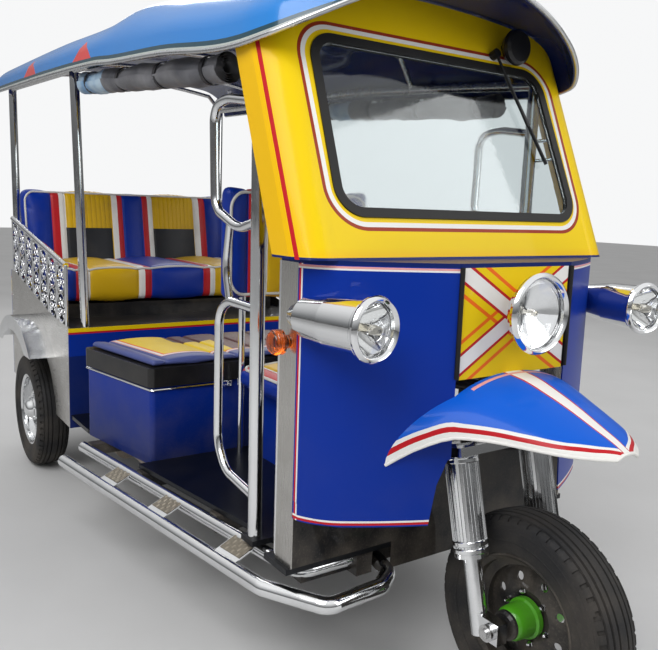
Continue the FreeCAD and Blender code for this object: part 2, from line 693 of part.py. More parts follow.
def surround():
    """Yellow windscreen surround with its ledge, wrapped back at its sides and carried up to the roof."""
    z = COWL_TOP + SCUTTLE_T

    def spot(x, y):
        return Vector(SCREEN_BOTTOM_X + x, y, z)

    wrap_x = -SURROUND_WRAP
    thick = SURROUND_T
    half = SURROUND_HALF
    flat = SURROUND_FLAT
    end_x = wrap_x - SURROUND_RETURN
    outer_mid = spot(-SURROUND_WRAP * 0.27, half - (half - flat) * 0.3)
    inner_mid = spot(-SURROUND_WRAP * 0.27 - thick * 0.9, half - (half - flat) * 0.3 - thick * 0.6)
    left_edges = [
        arc_through(spot(0, flat), outer_mid, spot(wrap_x, half)),
        line(spot(wrap_x, half), spot(end_x, half)),
        line(spot(end_x, half), spot(end_x, half - thick)),
        line(spot(end_x, half - thick), spot(wrap_x, half - thick)),
        arc_through(spot(wrap_x, half - thick), inner_mid, spot(-thick, flat)),
    ]
    right_edges = [edge.mirror(Vector(0, 0, 0), Y_AXIS) for edge in left_edges]
    edges = left_edges + right_edges + [
        line(spot(0, flat), spot(0, -flat)), line(spot(-thick, flat), spot(-thick, -flat)),
    ]
    wire = Part.Wire(Part.sortEdges(edges)[0])
    lean = Vector(-math.sin(SCREEN_RAKE), 0, math.cos(SCREEN_RAKE)) * 760.0
    prism = Part.Face(wire).extrude(lean)
    prism = prism.cut(window_solid(0.0, 40.0, -60.0)).cut(outside_roof())
    below_roof = max(prism.Solids, key=lambda solid: solid.Volume)
    return fused([below_roof, ledge()])


def gasket():
    """Rubber window gasket seated in the surround."""
    outer = window_solid(SEAT_GAP, 4.0, -SURROUND_T - 3.0)
    return outer.cut(window_solid(GASKET_W, 10.0, -SURROUND_T - 10.0))


def windscreen():
    """Flat glass held by the gasket."""
    middle = -SURROUND_T / 2.0
    return window_solid(GASKET_W, middle + GLASS_T / 2.0, middle - GLASS_T / 2.0)


def wiper():
    """Wiper hung from the top of the screen: pivot, arm and blade."""
    normal = screen_normal()
    pivot = screen_point(225, WINDOW_HIGH + 26.0)
    boss = rod(pivot, pivot + normal * 22.0, 13.0)
    arm_start = pivot + normal * 16.0
    arm_end = screen_point(290, WINDOW_HIGH - 190.0) + normal * 12.0
    arm = rod(arm_start, arm_end, 4.0)
    blade_top = screen_point(248, WINDOW_HIGH - 40.0) + normal * 11.0
    blade_low = screen_point(330, WINDOW_HIGH - 300.0) + normal * 11.0
    blade = rod(blade_top, blade_low, 5.0)
    return fused([boss, arm, blade])


def front_mudguard():
    """Beak-shaped guard over the wheel: arched sections that narrow and drop to the tip."""
    # columns: x, half width, rim height, ridge height
    sections = [
        (-250.0, 400.0, 560.0, GUARD_RIDGE_BACK), (-170.0, 312.0, 655.0, GUARD_RIDGE_BACK - 2.0),
        (-68.0, 222.0, 726.0, 843.0), (16.0, 174.0, 728.0, 818.0), (138.0, 120.0, 727.0, 771.0),
        (GUARD_TIP_X, 36.0, 724.0, GUARD_TIP_Z),
    ]
    wires = []
    for x, half, rim_z, ridge_z in sections:
        thick = GUARD_T
        outer = arc_through(Vector(x, -half, rim_z), Vector(x, 0, ridge_z), Vector(x, half, rim_z))
        inner = arc_through(Vector(x, half - thick, rim_z - 1.0), Vector(x, 0, ridge_z - thick),
                            Vector(x, -half + thick, rim_z - 1.0))
        wires.append(Part.Wire([
            outer, line(Vector(x, half, rim_z), Vector(x, half - thick, rim_z - 1.0)), inner,
            line(Vector(x, -half + thick, rim_z - 1.0), Vector(x, -half, rim_z)),
        ]))
    shell = Part.makeLoft(wires, True, False)
    behind = cowl_block(SEAT_GAP)
    return shell.cut(behind)


def cowl_block(grow):
    """Solid that fills the cowl's plan, used to trim what ends against its face."""
    z_low = 400.0
    z_high = 1000.0
    left = [edge.copy() for edge in cowl_plan(-grow, z_low)]
    for_side = left + [edge.mirror(Vector(0, 0, 0), Y_AXIS) for edge in left]
    start = Vector(COWL_FRONT_X + grow, CENTRE_HALF, z_low)
    back = Vector(COWL_BACK_X, CORNER_Y + 3.0 + grow, z_low)
    edges = for_side + [
        line(start, Vector(start.x, -start.y, z_low)), line(back, Vector(back.x, -back.y, z_low)),
    ]
    wire = Part.Wire(Part.sortEdges(edges)[0])
    return Part.Face(wire).extrude(Vector(0, 0, z_high - z_low))


# Lamps

def lamp_shell(front, axis, radius, length):
    """Chrome lamp: rolled rim, open bowl and closed rounded back."""
    wall = 3.0
    outline = [
        (0, radius - 10.0), (6, radius - 2.0), (0, radius), (-12, radius), (-18, radius - 6.0),
        (-length * 0.45, radius * 0.86), (-length * 0.8, radius * 0.62), (-length, radius * 0.3), (-length, 0),
        (-length + wall, 0), (-length + wall, radius * 0.3 - 1.5), (-length * 0.8 + 1.0, radius * 0.62 - wall),
        (-length * 0.45, radius * 0.86 - wall), (-20, radius - 10.0),
    ]
    return lathe(outline, front, axis)


def lamp_lens(front, axis, radius):
    """Domed glass behind the rim."""
    outline = [(-1, 0), (-1, radius * 0.35), (-5, radius * 0.75), (-9, radius - 10.4), (-14, radius - 10.4),
               (-9, radius * 0.75), (-5, radius * 0.35), (-5, 0)]
    return lathe(outline, front, axis)


def headlamp():
    """Centre headlamp with the foot that stands it off the centre panel."""
    front = Vector(LAMP_X, 0, LAMP_Z)
    depth = LAMP_X - COWL_FRONT_X - 8.0
    shell = lamp_shell(front, X_AXIS, LAMP_R, depth)
    foot = rod(Vector(COWL_FRONT_X, 0, LAMP_Z), Vector(COWL_FRONT_X + 9.5, 0, LAMP_Z), LAMP_R * 0.3)
    return fused([shell, foot])


def lamp_lenses():
    """Domed glasses of the headlamp and the two side lamps."""
    side_front = Vector(SIDE_LAMP_X, SIDE_LAMP_Y, SIDE_LAMP_Z)
    left = lamp_lens(side_front, side_lamp_axis(), SIDE_LAMP_R)
    centre = lamp_lens(Vector(LAMP_X, 0, LAMP_Z), X_AXIS, LAMP_R)
    return Part.makeCompound([centre, left, mirrored(left)])


def side_lamp_axis():
    """Direction the left side lamp faces."""
    return Vector(math.cos(SIDE_LAMP_TOE), -math.sin(SIDE_LAMP_TOE), 0)


def side_lamp_outline(grow):
    """Long bullet in (along, radius) corners, grown for the cut-out in the cowl."""
    radius = SIDE_LAMP_R
    length = SIDE_LAMP_L
    return [
        (0, 0), (0, radius + grow), (-14, radius + grow), (-24, radius - 8 + grow), (-length * 0.5, radius * 0.83 + grow),
        (-length * 0.85, radius * 0.66 + grow), (-length - grow, radius * 0.36 + grow), (-length - grow, 0),
    ]


def side_lamp_envelope():
    """Room that the left side lamp takes, with a small clearance."""
    front = Vector(SIDE_LAMP_X, SIDE_LAMP_Y, SIDE_LAMP_Z)
    return lathe(side_lamp_outline(SEAT_GAP), front, side_lamp_axis())


def side_lamps():
    """Two long chrome lamps nested in the cowl's corners."""
    front = Vector(SIDE_LAMP_X, SIDE_LAMP_Y, SIDE_LAMP_Z)
    radius = SIDE_LAMP_R
    length = SIDE_LAMP_L
    outline = side_lamp_outline(0.0)[1:] + [
        (-length + 3.0, 0), (-length + 3.0, radius * 0.3), (-length * 0.85, radius * 0.66 - 3.0),
        (-length * 0.5, radius * 0.83 - 3.0), (-22, radius - 10.0), (0, radius - 10.0),
    ]
    return both_sides(lathe(outline, front, side_lamp_axis()))


def indicators():
    """Round orange indicators on the jambs."""
    z = 915.0
    x = (COWL_BACK_X + JAMB_BACK_X) / 2.0
    start = CORNER_Y + 3.0
    outline = [(0, 0), (0, 16), (14, 18), (20, 30), (38, 30), (46, 24), (50, 0)]
    return both_sides(lathe(outline, Vector(x, start, z), Y_AXIS))


def visor_lamp():
    """Round lamp on the header under the roof's front lip."""
    front = Vector(-424, 286, 1696)
    return lathe([(0, 0), (0, 40), (-7, 48), (-18, 50), (-38, 38), (-44, 16), (-64, 16), (-64, 0)], front, X_AXIS)


# Roof

def roof_stations():
    """Columns: x, half width, edge height, crown height, sheet, then (in, up) or (in, down) of three spots."""
    front = (14.0, 72.0), (78.0, 56.0), (200.0, 22.0)
    rear = (12.0, 66.0), (60.0, 58.0), (160.0, 26.0)
    tub = SIDE_HALF
    return [
        (POST_X - 3.0, tub - 32, 1600.0, 1800.0, ROOF_T, *front),
        (cabin(-1000.0), tub - 18, 1642.0, 1845.0, ROOF_T, *front),
        (cabin(-1380.0), tub - 8, 1668.0, 1888.0, ROOF_T, *front),
        (cabin(-1560.0), tub, 1684.0, 1868.0, ROOF_T, *rear),
        (cabin(-2050.0), tub + 20, 1703.0, 1880.0, ROOF_T, *rear),
        (cabin(-2600.0), tub + 32, 1720.0, 1890.0, ROOF_T, *rear),
        (BODY_BACK - 20.0, tub + 38, 1730.0, 1895.0, ROOF_T, *rear),
    ]


def visor_stations():
    """The same columns for the peak over the windscreen, from its tip back to the roof."""
    return [
        (VISOR_TIP_X, 108.0, 1783.0, 1796.0, 5.0, (18.0, 3.5), (42.0, 6.0), (68.0, 2.5)),
        (VISOR_TIP_X - 12.0, 236.0, 1745.0, 1799.0, 8.0, (31.0, 17.0), (81.0, 20.0), (136.0, 8.0)),
        (VISOR_TIP_X - 39.0, 358.0, 1696.0, 1801.0, 10.0, (33.0, 29.0), (96.0, 45.0), (188.0, 17.0)),
        (VISOR_TIP_X - 88.0, 460.0, 1646.0, 1803.0, 12.0, (25.0, 44.0), (96.0, 55.0), (210.0, 23.0)),
        (VISOR_TIP_X - 162.0, 528.0, 1610.0, 1802.0, ROOF_T, (16.0, 64.0), (84.0, 58.0), (205.0, 23.0)),
        roof_stations()[0],
    ]


def roof_half(station, inset):
    """Half of one section as (y, z) spots: edge, skirt's top, shoulder, shoulder's end, crown."""
    x, half, edge_z, crown_z, sheet, skirt, shoulder, top = station
    return [
        (half - inset, edge_z), (half - skirt[0] - inset, edge_z + skirt[1]),
        (half - shoulder[0] - inset * 0.75, crown_z - shoulder[1] - inset * 0.6),
        (half - top[0] - inset * 0.4, crown_z - top[1] - inset * 0.95), (0.0, crown_z - inset),
    ]


def roof_edges(x, spots):
    """Edges of one arched section from the left edge over the crown to the right edge."""
    left = [Vector(x, y, z) for y, z in spots]
    right = [Vector(x, -y, z) for y, z in spots]
    return [
        line(left[0], left[1]), arc_through(left[1], left[2], left[3]),
        arc_through(left[3], left[4], right[3]), arc_through(right[3], right[2], right[1]),
        line(right[1], right[0]),
    ]


def arched_shell(stations):
    """Sheet lofted through arched sections, open underneath."""
    wires = []
    for station in stations:
        x, half, edge_z, sheet = station[0], station[1], station[2], station[4]
        edges = roof_edges(x, roof_half(station, 0.0)) + roof_edges(x, roof_half(station, sheet))
        edges.append(line(Vector(x, half, edge_z), Vector(x, half - sheet, edge_z)))
        edges.append(line(Vector(x, -half, edge_z), Vector(x, -half + sheet, edge_z)))
        wires.append(Part.Wire(Part.sortEdges(edges)[0]))
    return Part.makeLoft(wires, True, True)


def roof():
    """Arched roof shell with side skirts, open underneath."""
    return arched_shell(roof_stations())


def roof_visor():
    """Peak over the windscreen, which falls to the hem's front corners."""
    return arched_shell(visor_stations())


def outside_roof():
    """Block over and beside the peak and the roof's front, from their hems up, to trim what stands under them."""
    wide = 700.0
    top = 2000.0
    wires = []
    for station in visor_stations() + roof_stations()[1:2]:
        x, half, edge_z, sheet = station[0], station[1], station[2], station[4]
        inner = half - sheet - SEAT_GAP
        corners = [Vector(x, y, z) for y, z in
                   ((inner, edge_z), (wide, edge_z), (wide, top), (-wide, top), (-wide, edge_z), (-inner, edge_z))]
        edges = roof_edges(x, roof_half(station, sheet + SEAT_GAP))
        edges += [line(start, end) for start, end in zip(corners, corners[1:])]
        wires.append(Part.Wire(Part.sortEdges(edges)[0]))
    return Part.makeLoft(wires, True, True)


def roof_at(x):
    """Half width, edge height and crown height of the roof at a station, read between the table's rows."""
    rows = visor_stations()[:-1] + roof_stations()
    for near, far in zip(rows, rows[1:]):
        if far[0] <= x <= near[0]:
            share = (x - near[0]) / (far[0] - near[0])
            return [a + (b - a) * share for a, b in zip(near[1:4], far[1:4])]
    return list(rows[-1][1:4])


def roof_rail_point(x, side):
    """Middle of the side rail under the roof's skirt."""
    half, edge_z, crown_z = roof_at(x)
    return Vector(x, side * (half - 62.0), edge_z + 22.0)


def roof_frame():
    """Side rails and arched bows that carry the roof and rest on the posts."""
    pieces = []
    stations = (ROOF_RAIL_FRONT, POST_X, cabin(-1000.0), cabin(-1560.0), cabin(-2050.0), BODY_BACK + 10.0)
    for side in (-1, 1):
        for near, far in zip(stations, stations[1:]):
            pieces.append(rod(roof_rail_point(near, side), roof_rail_point(far, side), ROOF_SIDE_R))
        for x in stations[1:-1]:
            pieces.append(Part.makeSphere(ROOF_SIDE_R, roof_rail_point(x, side)))
    for x in (cabin(-640.0), cabin(-1150.0), REAR_POST_X, REAR_AXLE_X, BODY_BACK + 30.0):
        half, edge_z, crown_z = roof_at(x)
        left = roof_rail_point(x, 1)
        knee = Vector(x, half - 130.0, crown_z - 74.0)
        crown = Vector(x, 0, crown_z - 34.0)
        for side in (-1, 1):
            flip = Vector(x, side * knee.y, knee.z)
            pieces.append(rod(Vector(x, side * left.y, left.z), flip, 10.0))
            pieces.append(Part.makeSphere(10.0, flip))
        arch = Part.Wire([arc_through(knee, crown, Vector(x, -knee.y, knee.z))])
        section = Part.Wire(Part.makeCircle(10.0, knee, arch.Edges[0].tangentAt(arch.Edges[0].FirstParameter)))
        pieces.append(arch.makePipeShell([section], True, False))
    return fused(pieces)


# Posts, hoops and running boards

def front_posts():
    """Chrome door posts with two short stays each to the screen, and slim uprights beside the jambs."""
    foot = Vector(POST_X, POST_Y, FLOOR_TOP)
    top = roof_rail_point(POST_X, 1)
    pieces = [rod(foot, top, POST_R)]
    for z in (1392.0, 1452.0):
        share = (z - FLOOR_TOP) / (top.z - FLOOR_TOP)
        start = foot + (top - foot) * share
        pieces.append(rod(start, Vector(POST_X + 64.0, SURROUND_HALF - SURROUND_T / 2.0, z + 8), 6.0))
    slim_x = JAMB_BACK_X - 9.0 - SEAT_GAP
    slim_y = CORNER_Y - 8.0
    slim = rod(Vector(slim_x, slim_y, FLOOR_TOP), Vector(slim_x, slim_y, COWL_TOP), 9.0)
    return both_sides(Part.makeCompound([fused(pieces), slim]))


def hoops():
    """Grab hoops behind the door posts: one over the other, joined by a waist."""
    y = POST_Y + 8.0
    front = POST_X - 6.0
    upper = [Vector(front, y + 6, 1185), Vector(-640, y, 1165), Vector(-775, y + 4, 1215), Vector(-775, y + 10, 1480),
             Vector(-700, y + 12, 1500), Vector(front, y + 12, 1478)]
    lower = [Vector(front, y, 968), Vector(-700, y, 972), Vector(-752, y, 930), Vector(-752, y, 560),
             Vector(-700, y, 492), Vector(front, y - 4, 470)]
    waist = [Vector(-690, y, 972), Vector(-716, y, 1060), Vector(-694, y, 1176)]
    pieces = [bent_rod(upper, HOOP_R, 34.0), bent_rod(lower, HOOP_R, 30.0), rod(waist[0], waist[1], HOOP_R - 2),
              rod(waist[1], waist[2], HOOP_R - 2), Part.makeSphere(HOOP_R - 2, waist[1])]
    return both_sides(fused(pieces))


def running_boards():
    """Tube pairs along each side with flat treads between, turned in under the cowl at the front."""
    low = BOARD_Z
    high = BOARD_Z + BOARD_RISE
    outer = [
        Vector(BOARD_BACK_X, board_outer_y(BOARD_BACK_X), low), Vector(BOARD_TURN_X, BOARD_FRONT_Y, low),
        Vector(-255, 430, low), Vector(-268, 262, low), Vector(-300, 210, low + 8), Vector(NECK_X, 206, low + 34),
    ]
    inner = [
        Vector(BOARD_BACK_X, board_inner_y(BOARD_BACK_X), high), Vector(-368, board_inner_y(-368), high),
        Vector(FLOOR_FRONT - 38, RAIL_Y, high),
    ]
    pieces = [bent_rod(outer, BOARD_OUTER_R, 36.0), bent_rod(inner, BOARD_INNER_R, 44.0)]
    for x in (cabin(-1208.0), cabin(-893.0), -530.0):
        back = x - 95.0
        out_z = low + BOARD_OUTER_R - 3
        in_z = high + BOARD_INNER_R - 6
        corners = [Vector(x, board_outer_y(x), out_z), Vector(back, board_outer_y(back), out_z),
                   Vector(back, board_inner_y(back), in_z), Vector(x, board_inner_y(x), in_z)]
        pieces.append(plate(corners, Vector(0, 0, 4)))
    return both_sides(fused(pieces))


# Seats and boxes

def pedestal():
    """Driver's seat base."""
    base = box(SEAT_BACK + 20, SEAT_FRONT - 20, -150, 150, FLOOR_TOP, PEDESTAL_TOP)
    return base.makeFillet(14.0, upright_edges(base))


def driver_cushion():
    """Driver's seat cushion."""
    pad = box(SEAT_BACK, SEAT_FRONT, -220, 220, PEDESTAL_TOP, PEDESTAL_TOP + CUSHION_T)
    pad = pad.makeFillet(40.0, upright_edges(pad))
    return pad.makeFillet(22.0, [edge for edge in pad.Edges if edge.BoundBox.ZMin > PEDESTAL_TOP + CUSHION_T - 1])


def backrest_frame():
    """Two chrome uprights behind the driver, joined at the top."""
    x = UPRIGHT_X
    y = 190.0
    points = [Vector(x, -y, FLOOR_TOP), Vector(x, -y, 1200), Vector(x, y, 1200), Vector(x, y, FLOOR_TOP)]
    return bent_rod(points, UPRIGHT_R, 60.0)


def driver_backrest():
    """Striped pad in front of the uprights."""
    back = UPRIGHT_X + UPRIGHT_R + SEAT_GAP
    pad = box(back, back + 54.0, -285, 285, 915, 1285)
    ends = [edge for edge in pad.Edges if edge.BoundBox.XLength > 50]
    pad = pad.makeFillet(60.0, ends)
    return pad.makeFillet(16.0, [edge for edge in pad.Edges if edge.BoundBox.XMin > back + 53])


def engine_box():
    """Blue cover over the engine, open at the top under its padded lid, its sides down past the floor's edge."""
    outer = box_plan(0.0, RAIL_TOP, ENGINE_BOX_TOP, ENGINE_BOX_BACK)
    outer = outer.makeFillet(18.0, upright_edges(outer))
    inner = box_plan(-SHEET, RAIL_TOP - 1, ENGINE_BOX_TOP + 1, ENGINE_BOX_BACK + SHEET)
    inner = inner.makeFillet(14.0, upright_edges(inner))
    return outer.cut(inner)


def lid_pivot():
    """Middle of the lid's hinge pin."""
    return Vector(ENGINE_BOX_BACK - LID_PIVOT_BACK, 0, ENGINE_BOX_TOP + SEAT_GAP - LID_PIVOT_DROP)


def lid_tray():
    """Lid that sits on the engine box and laps over its front and sides, with two hinge knuckles behind."""
    low = ENGINE_BOX_TOP + SEAT_GAP
    outer = box_plan(LID_ROOM + LID_WALL, low - LID_SKIRT, low + LID_T, ENGINE_BOX_BACK)
    outer = outer.makeFillet(22.0, upright_edges(outer))
    room = box_plan(LID_ROOM, low - LID_SKIRT - 1, low, ENGINE_BOX_BACK - 10)
    room = room.makeFillet(16.0, upright_edges(room))
    pivot = lid_pivot()
    pieces = [outer.cut(room)]
    for y in (-130.0, 130.0):
        start = Vector(pivot.x, y - 30, pivot.z)
        pieces.append(rod(start, start + Y_AXIS * 60, 10.0))
        pieces.append(box(pivot.x - 10, pivot.x - 1, y - 30, y + 30, pivot.z, low + 12))
        pieces.append(box(pivot.x - 10, ENGINE_BOX_BACK + 30, y - 30, y + 30, low, low + 12))
    pin_room = rod(pivot - Y_AXIS * 400, pivot + Y_AXIS * 400, LID_PIN_R + RUNNING_GAP)
    return fused(pieces).cut(pin_room)


def lid_pad():
    """Low padding on the lid."""
    low = ENGINE_BOX_TOP + SEAT_GAP + LID_T
    pad = box_plan(-10.0, low, low + LID_PAD_T, ENGINE_BOX_BACK + 14)
    pad = pad.makeFillet(22.0, upright_edges(pad))
    return pad.makeFillet(9.0, [edge for edge in pad.Edges if edge.BoundBox.ZMin > low + 1])


def lid_hinge():
    """Hinge pin behind the engine box, held by three ears."""
    pivot = lid_pivot()
    pieces = [rod(pivot - Y_AXIS * 230, pivot + Y_AXIS * 230, LID_PIN_R)]
    for y in (-215.0, 0.0, 215.0):
        pieces.append(box(pivot.x - 7, ENGINE_BOX_BACK, y - 12, y + 12, pivot.z - 7, pivot.z + 7))
    return fused(pieces)


def bench_riser():
    """Front wall of the passenger tub, from the floor to the ledge, notched over the chassis."""
    wall = box(BENCH_X - PANEL_T, BENCH_X, -SIDE_HALF, SIDE_HALF, RAIL_TOP - 40, DECK_Z)
    inner = RAIL_Y - RAIL_W / 2.0
    outer = RAIL_Y + RAIL_W / 2.0
    for low, high in ((inner, outer), (-outer, -inner), (-120.0, 120.0)):
        wall = wall.cut(box(BENCH_X - 20, BENCH_X + 20, low - 1, high + 1, 200, RAIL_TOP + SEAT_GAP))
    return wall


def rear_deck():
    """Level deck of the tub, with the bench's plinth and the housings over the rear tyres."""
    deck = box(BODY_BACK, BENCH_X - PANEL_T, -SIDE_HALF + PANEL_T, SIDE_HALF - PANEL_T, DECK_Z - 12, DECK_Z)
    plinth = box(cabin(-2700), cabin(-2190), -SIDE_HALF + 75, SIDE_HALF - 75, DECK_Z, DECK_Z + PLINTH_H)
    outer_r = ARCH_R + 4.0
    inside = TRACK_HALF - TYRE_W / 2.0 - 42.0
    pieces = [deck, plinth]
    for side in (-1, 1):
        start = Vector(REAR_AXLE_X, side * inside, TYRE_R)
        end = Vector(REAR_AXLE_X, side * (SIDE_HALF - PANEL_T), TYRE_R)
        band = pipe(start, end, outer_r, ARCH_R)
        cheek = pipe(start, start + Vector(0, side * 4.0, 0), ARCH_R + 1.0, 190.0)
        below = box(REAR_AXLE_X - 500, REAR_AXLE_X + 500, -800, 800, -200, TYRE_R + 60.0)
        housing = band.fuse(cheek).cut(below)
        web_y = sorted((side * inside, side * (inside + 4.0)))
        web = box(REAR_AXLE_X - 60, REAR_AXLE_X + 60, web_y[0], web_y[1], TYRE_R + ARCH_R, DECK_Z - 12)
        pieces += [housing, web]
    return fused(pieces)


def side_panels():
    """Stainless sides of the tub, cut for the wheels, rising to the rear."""
    outline = [
        (BENCH_X - PANEL_T, RAIL_TOP - 40), (BENCH_X - PANEL_T, DECK_Z + 6.0), (cabin(-2150), DECK_Z + 22.0),
        (BODY_BACK + 80, DECK_Z + 150.0), (BODY_BACK, DECK_Z + 150.0), (BODY_BACK, RAIL_TOP - 10),
    ]
    panel = side_plate(outline, SIDE_HALF - PANEL_T, SIDE_HALF)
    arch = rod(Vector(REAR_AXLE_X, 300, TYRE_R), Vector(REAR_AXLE_X, 800, TYRE_R), ARCH_R)
    below = box(REAR_AXLE_X - ARCH_R, REAR_AXLE_X + ARCH_R, 300, 800, 100, TYRE_R)
    return both_sides(panel.cut(arch).cut(below))


def rear_mudguards():
    """Flared guards outside the body, over each rear tyre."""
    outer_r = TYRE_R + GUARD_REACH
    inner_r = outer_r - 4.0
    start = Vector(REAR_AXLE_X, SIDE_HALF, TYRE_R)
    end = Vector(REAR_AXLE_X, SIDE_HALF + 104.0, TYRE_R)
    band = pipe(start, end, outer_r, inner_r)
    flank_r = outer_r - GUARD_FLANK
    flank = pipe(end - Vector(0, 4, 0), end, inner_r + 1.0, flank_r)
    cut = box(REAR_AXLE_X - 500, REAR_AXLE_X + 500, 300, 800, -400, TYRE_R + GUARD_REACH + GUARD_END)
    return both_sides(fused([band, flank]).cut(cut))


def rear_panel():
    """Rear wall of the tub, drilled for the number plate's screws."""
    wall = box(BODY_BACK - PANEL_T, BODY_BACK, -SIDE_HALF, SIDE_HALF, RAIL_TOP - 10, DECK_Z + 150.0)
    return drill_plate_holes(wall)


def drill_plate_holes(piece):
    """Open the number plate's two screw holes in a piece."""
    for side in (-1, 1):
        spot = Vector(BODY_BACK - PANEL_T - 20.0, side * PLATE_HOLE_Y, PLATE_LOW + 130.0)
        piece = piece.cut(rod(spot, spot + Vector(50, 0, 0), PLATE_HOLE_R))
    return piece


def tail_lamps():
    """Round red lamps on the rear wall."""
    outline = [(0, 0), (0, 46), (12, 46), (16, 40), (26, 34), (30, 0)]
    y = SIDE_HALF - 150.0
    pieces = [lathe(outline, Vector(BODY_BACK - PANEL_T, y, z), Vector(-1, 0, 0)) for z in (560.0, 680.0)]
    return both_sides(Part.makeCompound(pieces))


def rear_bumper():
    """Tube bumper with two brackets and a tow eye under its middle."""
    x = -WHEELBASE - REAR_OVERHANG + 19.0
    z = 400.0
    half = SIDE_HALF - 35.0
    pieces = [rod(Vector(x, -half, z), Vector(x, half, z), 19.0)]
    for side in (-1, 1):
        pieces.append(box(x, BODY_BACK - PANEL_T, side * RAIL_Y - 20, side * RAIL_Y + 20, z - 8, z + 8))
    eye_low = z - 62.0
    eye = box(x - 17.0, x + 26.0, -7, 7, eye_low + 14.0, z)
    ring = rod(Vector(x + 4.0, -7, eye_low + 20.0), Vector(x + 4.0, 7, eye_low + 20.0), 21.5)
    hole = rod(Vector(x + 4.0, -20, eye_low + 20.0), Vector(x + 4.0, 20, eye_low + 20.0), TOW_EYE_R)
    return fused(pieces + [eye, ring]).cut(hole)


def number_plate():
    """Blank plate on the rear wall, with its two screw holes."""
    back = BODY_BACK - PANEL_T
    return drill_plate_holes(box(back - 3.0, back, -170, 170, PLATE_LOW, PLATE_LOW + 150))


def bench_cushion():
    """Passenger bench cushion."""
    low = DECK_Z + PLINTH_H
    front_x = cabin(-2170)
    half = SIDE_HALF - 55.0
    pad = box(cabin(-2720), front_x, -half, half, low, low + BENCH_T)
    front = [edge for edge in pad.Edges if edge.BoundBox.XMin > front_x - 1 or edge.BoundBox.ZMin > low + BENCH_T - 1]
    return pad.makeFillet(40.0, front)


def bench_backrest():
    """Passenger backrest, leaning back."""
    pad = side_plate([BACKREST_FRONT_LOW, BACKREST_FRONT_TOP, BACKREST_REAR_TOP, BACKREST_REAR_LOW],
                     35.0 - SIDE_HALF, SIDE_HALF - 35.0)
    top = BACKREST_REAR_TOP[1]
    ends = [edge for edge in pad.Edges if edge.BoundBox.ZMin > top - 1 and edge.BoundBox.YLength < 1]
    return pad.makeFillet(60.0, ends)


def rear_posts():
    """Posts from the deck to the roof rails, and the frame behind the backrest."""
    pieces = []
    # columns: x, y at the foot, z of the foot
    for x, y, z in [(REAR_POST_X, REAR_POST_Y, DECK_Z), (BODY_BACK + 30.0, SIDE_HALF - 30.0, DECK_Z)]:
        left = rod(Vector(x, y, z), roof_rail_point(x, 1), POST_R - 1.0)
        pieces += [left, mirrored(left)]
    low = Vector(BACKREST_REAR_LOW[0], 0, BACKREST_REAR_LOW[1])
    top = Vector(BACKREST_REAR_TOP[0], 0, BACKREST_REAR_TOP[1])
    lean = (top - low).normalize()
    behind = Vector(-lean.z, 0, lean.x) * (STAND_R + 2.0 + SEAT_GAP)
    foot = low - lean * ((low.z - DECK_Z) / lean.z) + behind
    head = low + lean * 320.0 + behind
    outer = SIDE_HALF - 180.0
    stand = [rod(foot + Y_AXIS * y, head + Y_AXIS * y, STAND_R) for y in (-outer, 0.0, outer)]
    stand.append(rod(head - Y_AXIS * (outer + 50), head + Y_AXIS * (outer + 50), STAND_R + 2.0))
    return Part.makeCompound(pieces + [fused(stand)])


def armrests():
    """Scrollwork panels over the tub's sides: rails, uprights and rings of flat bar."""
    y = SIDE_HALF - PANEL_T / 2.0
    front_x = BENCH_X - 30.0
    back_x = BODY_BACK + 60.0

    def foot_z(x):
        turn = cabin(-2150)
        if x > turn:
            return DECK_Z + 6.0 + (BENCH_X - PANEL_T - x) * 16.0 / (BENCH_X - PANEL_T - turn)
        share = (turn - x) / (turn - (BODY_BACK + 80))
        return DECK_Z + 22.0 + 128.0 * min(1.0, share)

    def top_z(x):
        return 965.0 + (front_x - x) * 0.17

    pieces = [rod(Vector(front_x, y, top_z(front_x)), Vector(back_x, y, top_z(back_x)), 12.0)]
    bays = 7
    step = (front_x - back_x) / bays
    for index in range(bays + 1):
        x = front_x - step * index
        pieces.append(rod(Vector(x, y, foot_z(x)), Vector(x, y, top_z(x)), 7.0))
    for index in range(bays):
        x = front_x - step * (index + 0.5)
        low = foot_z(x)
        high = top_z(x)
        big = step / 2.0 - 5.0
        small = (high - low - 12.0 - 2 * big) / 2.0
        centre_z = low + big
        pieces.append(pipe(Vector(x, y - 4, centre_z), Vector(x, y + 4, centre_z), big + 2.0, big - 5.0))
        if small > 14.0:
            spot_z = centre_z + big + small
            pieces.append(pipe(Vector(x, y - 4, spot_z), Vector(x, y + 4, spot_z), small + 2.0, small - 5.0))
    return both_sides(fused(pieces))


def side_curtains():
    """Rolled side curtains tied up under the roof's edge."""
    drop = ROOF_SIDE_R + CURTAIN_R + SEAT_GAP
    start = roof_rail_point(cabin(-700.0), 1) - Z_AXIS * drop
    end = roof_rail_point(cabin(-1790.0), 1) - Z_AXIS * drop
    return both_sides(rod(start, end, CURTAIN_R))


def wheels():
    """The three wheels as tyre and rim pairs."""
    rear_z = TYRE_R
    front = Vector(0, 0, TYRE_R)
    left = Vector(REAR_AXLE_X, TRACK_HALF, rear_z)
    right = Vector(REAR_AXLE_X, -TRACK_HALF, rear_z)
    return {
        "front_tyre": tyre(front),
        "front_rim": rim(front, FRONT_AXLE_R + RUNNING_GAP, 36.0, 100.0, 100.0, 0.0, -1),
        "rear_tyre_left": tyre(left),
        "rear_rim_left": rim(left, STUB_R + RUNNING_GAP, 52.0, 40.0, 60.0, 12.0, 1),
        "rear_tyre_right": tyre(right),
        "rear_rim_right": rim(right, STUB_R + RUNNING_GAP, 52.0, 40.0, 60.0, 12.0, -1),
    }


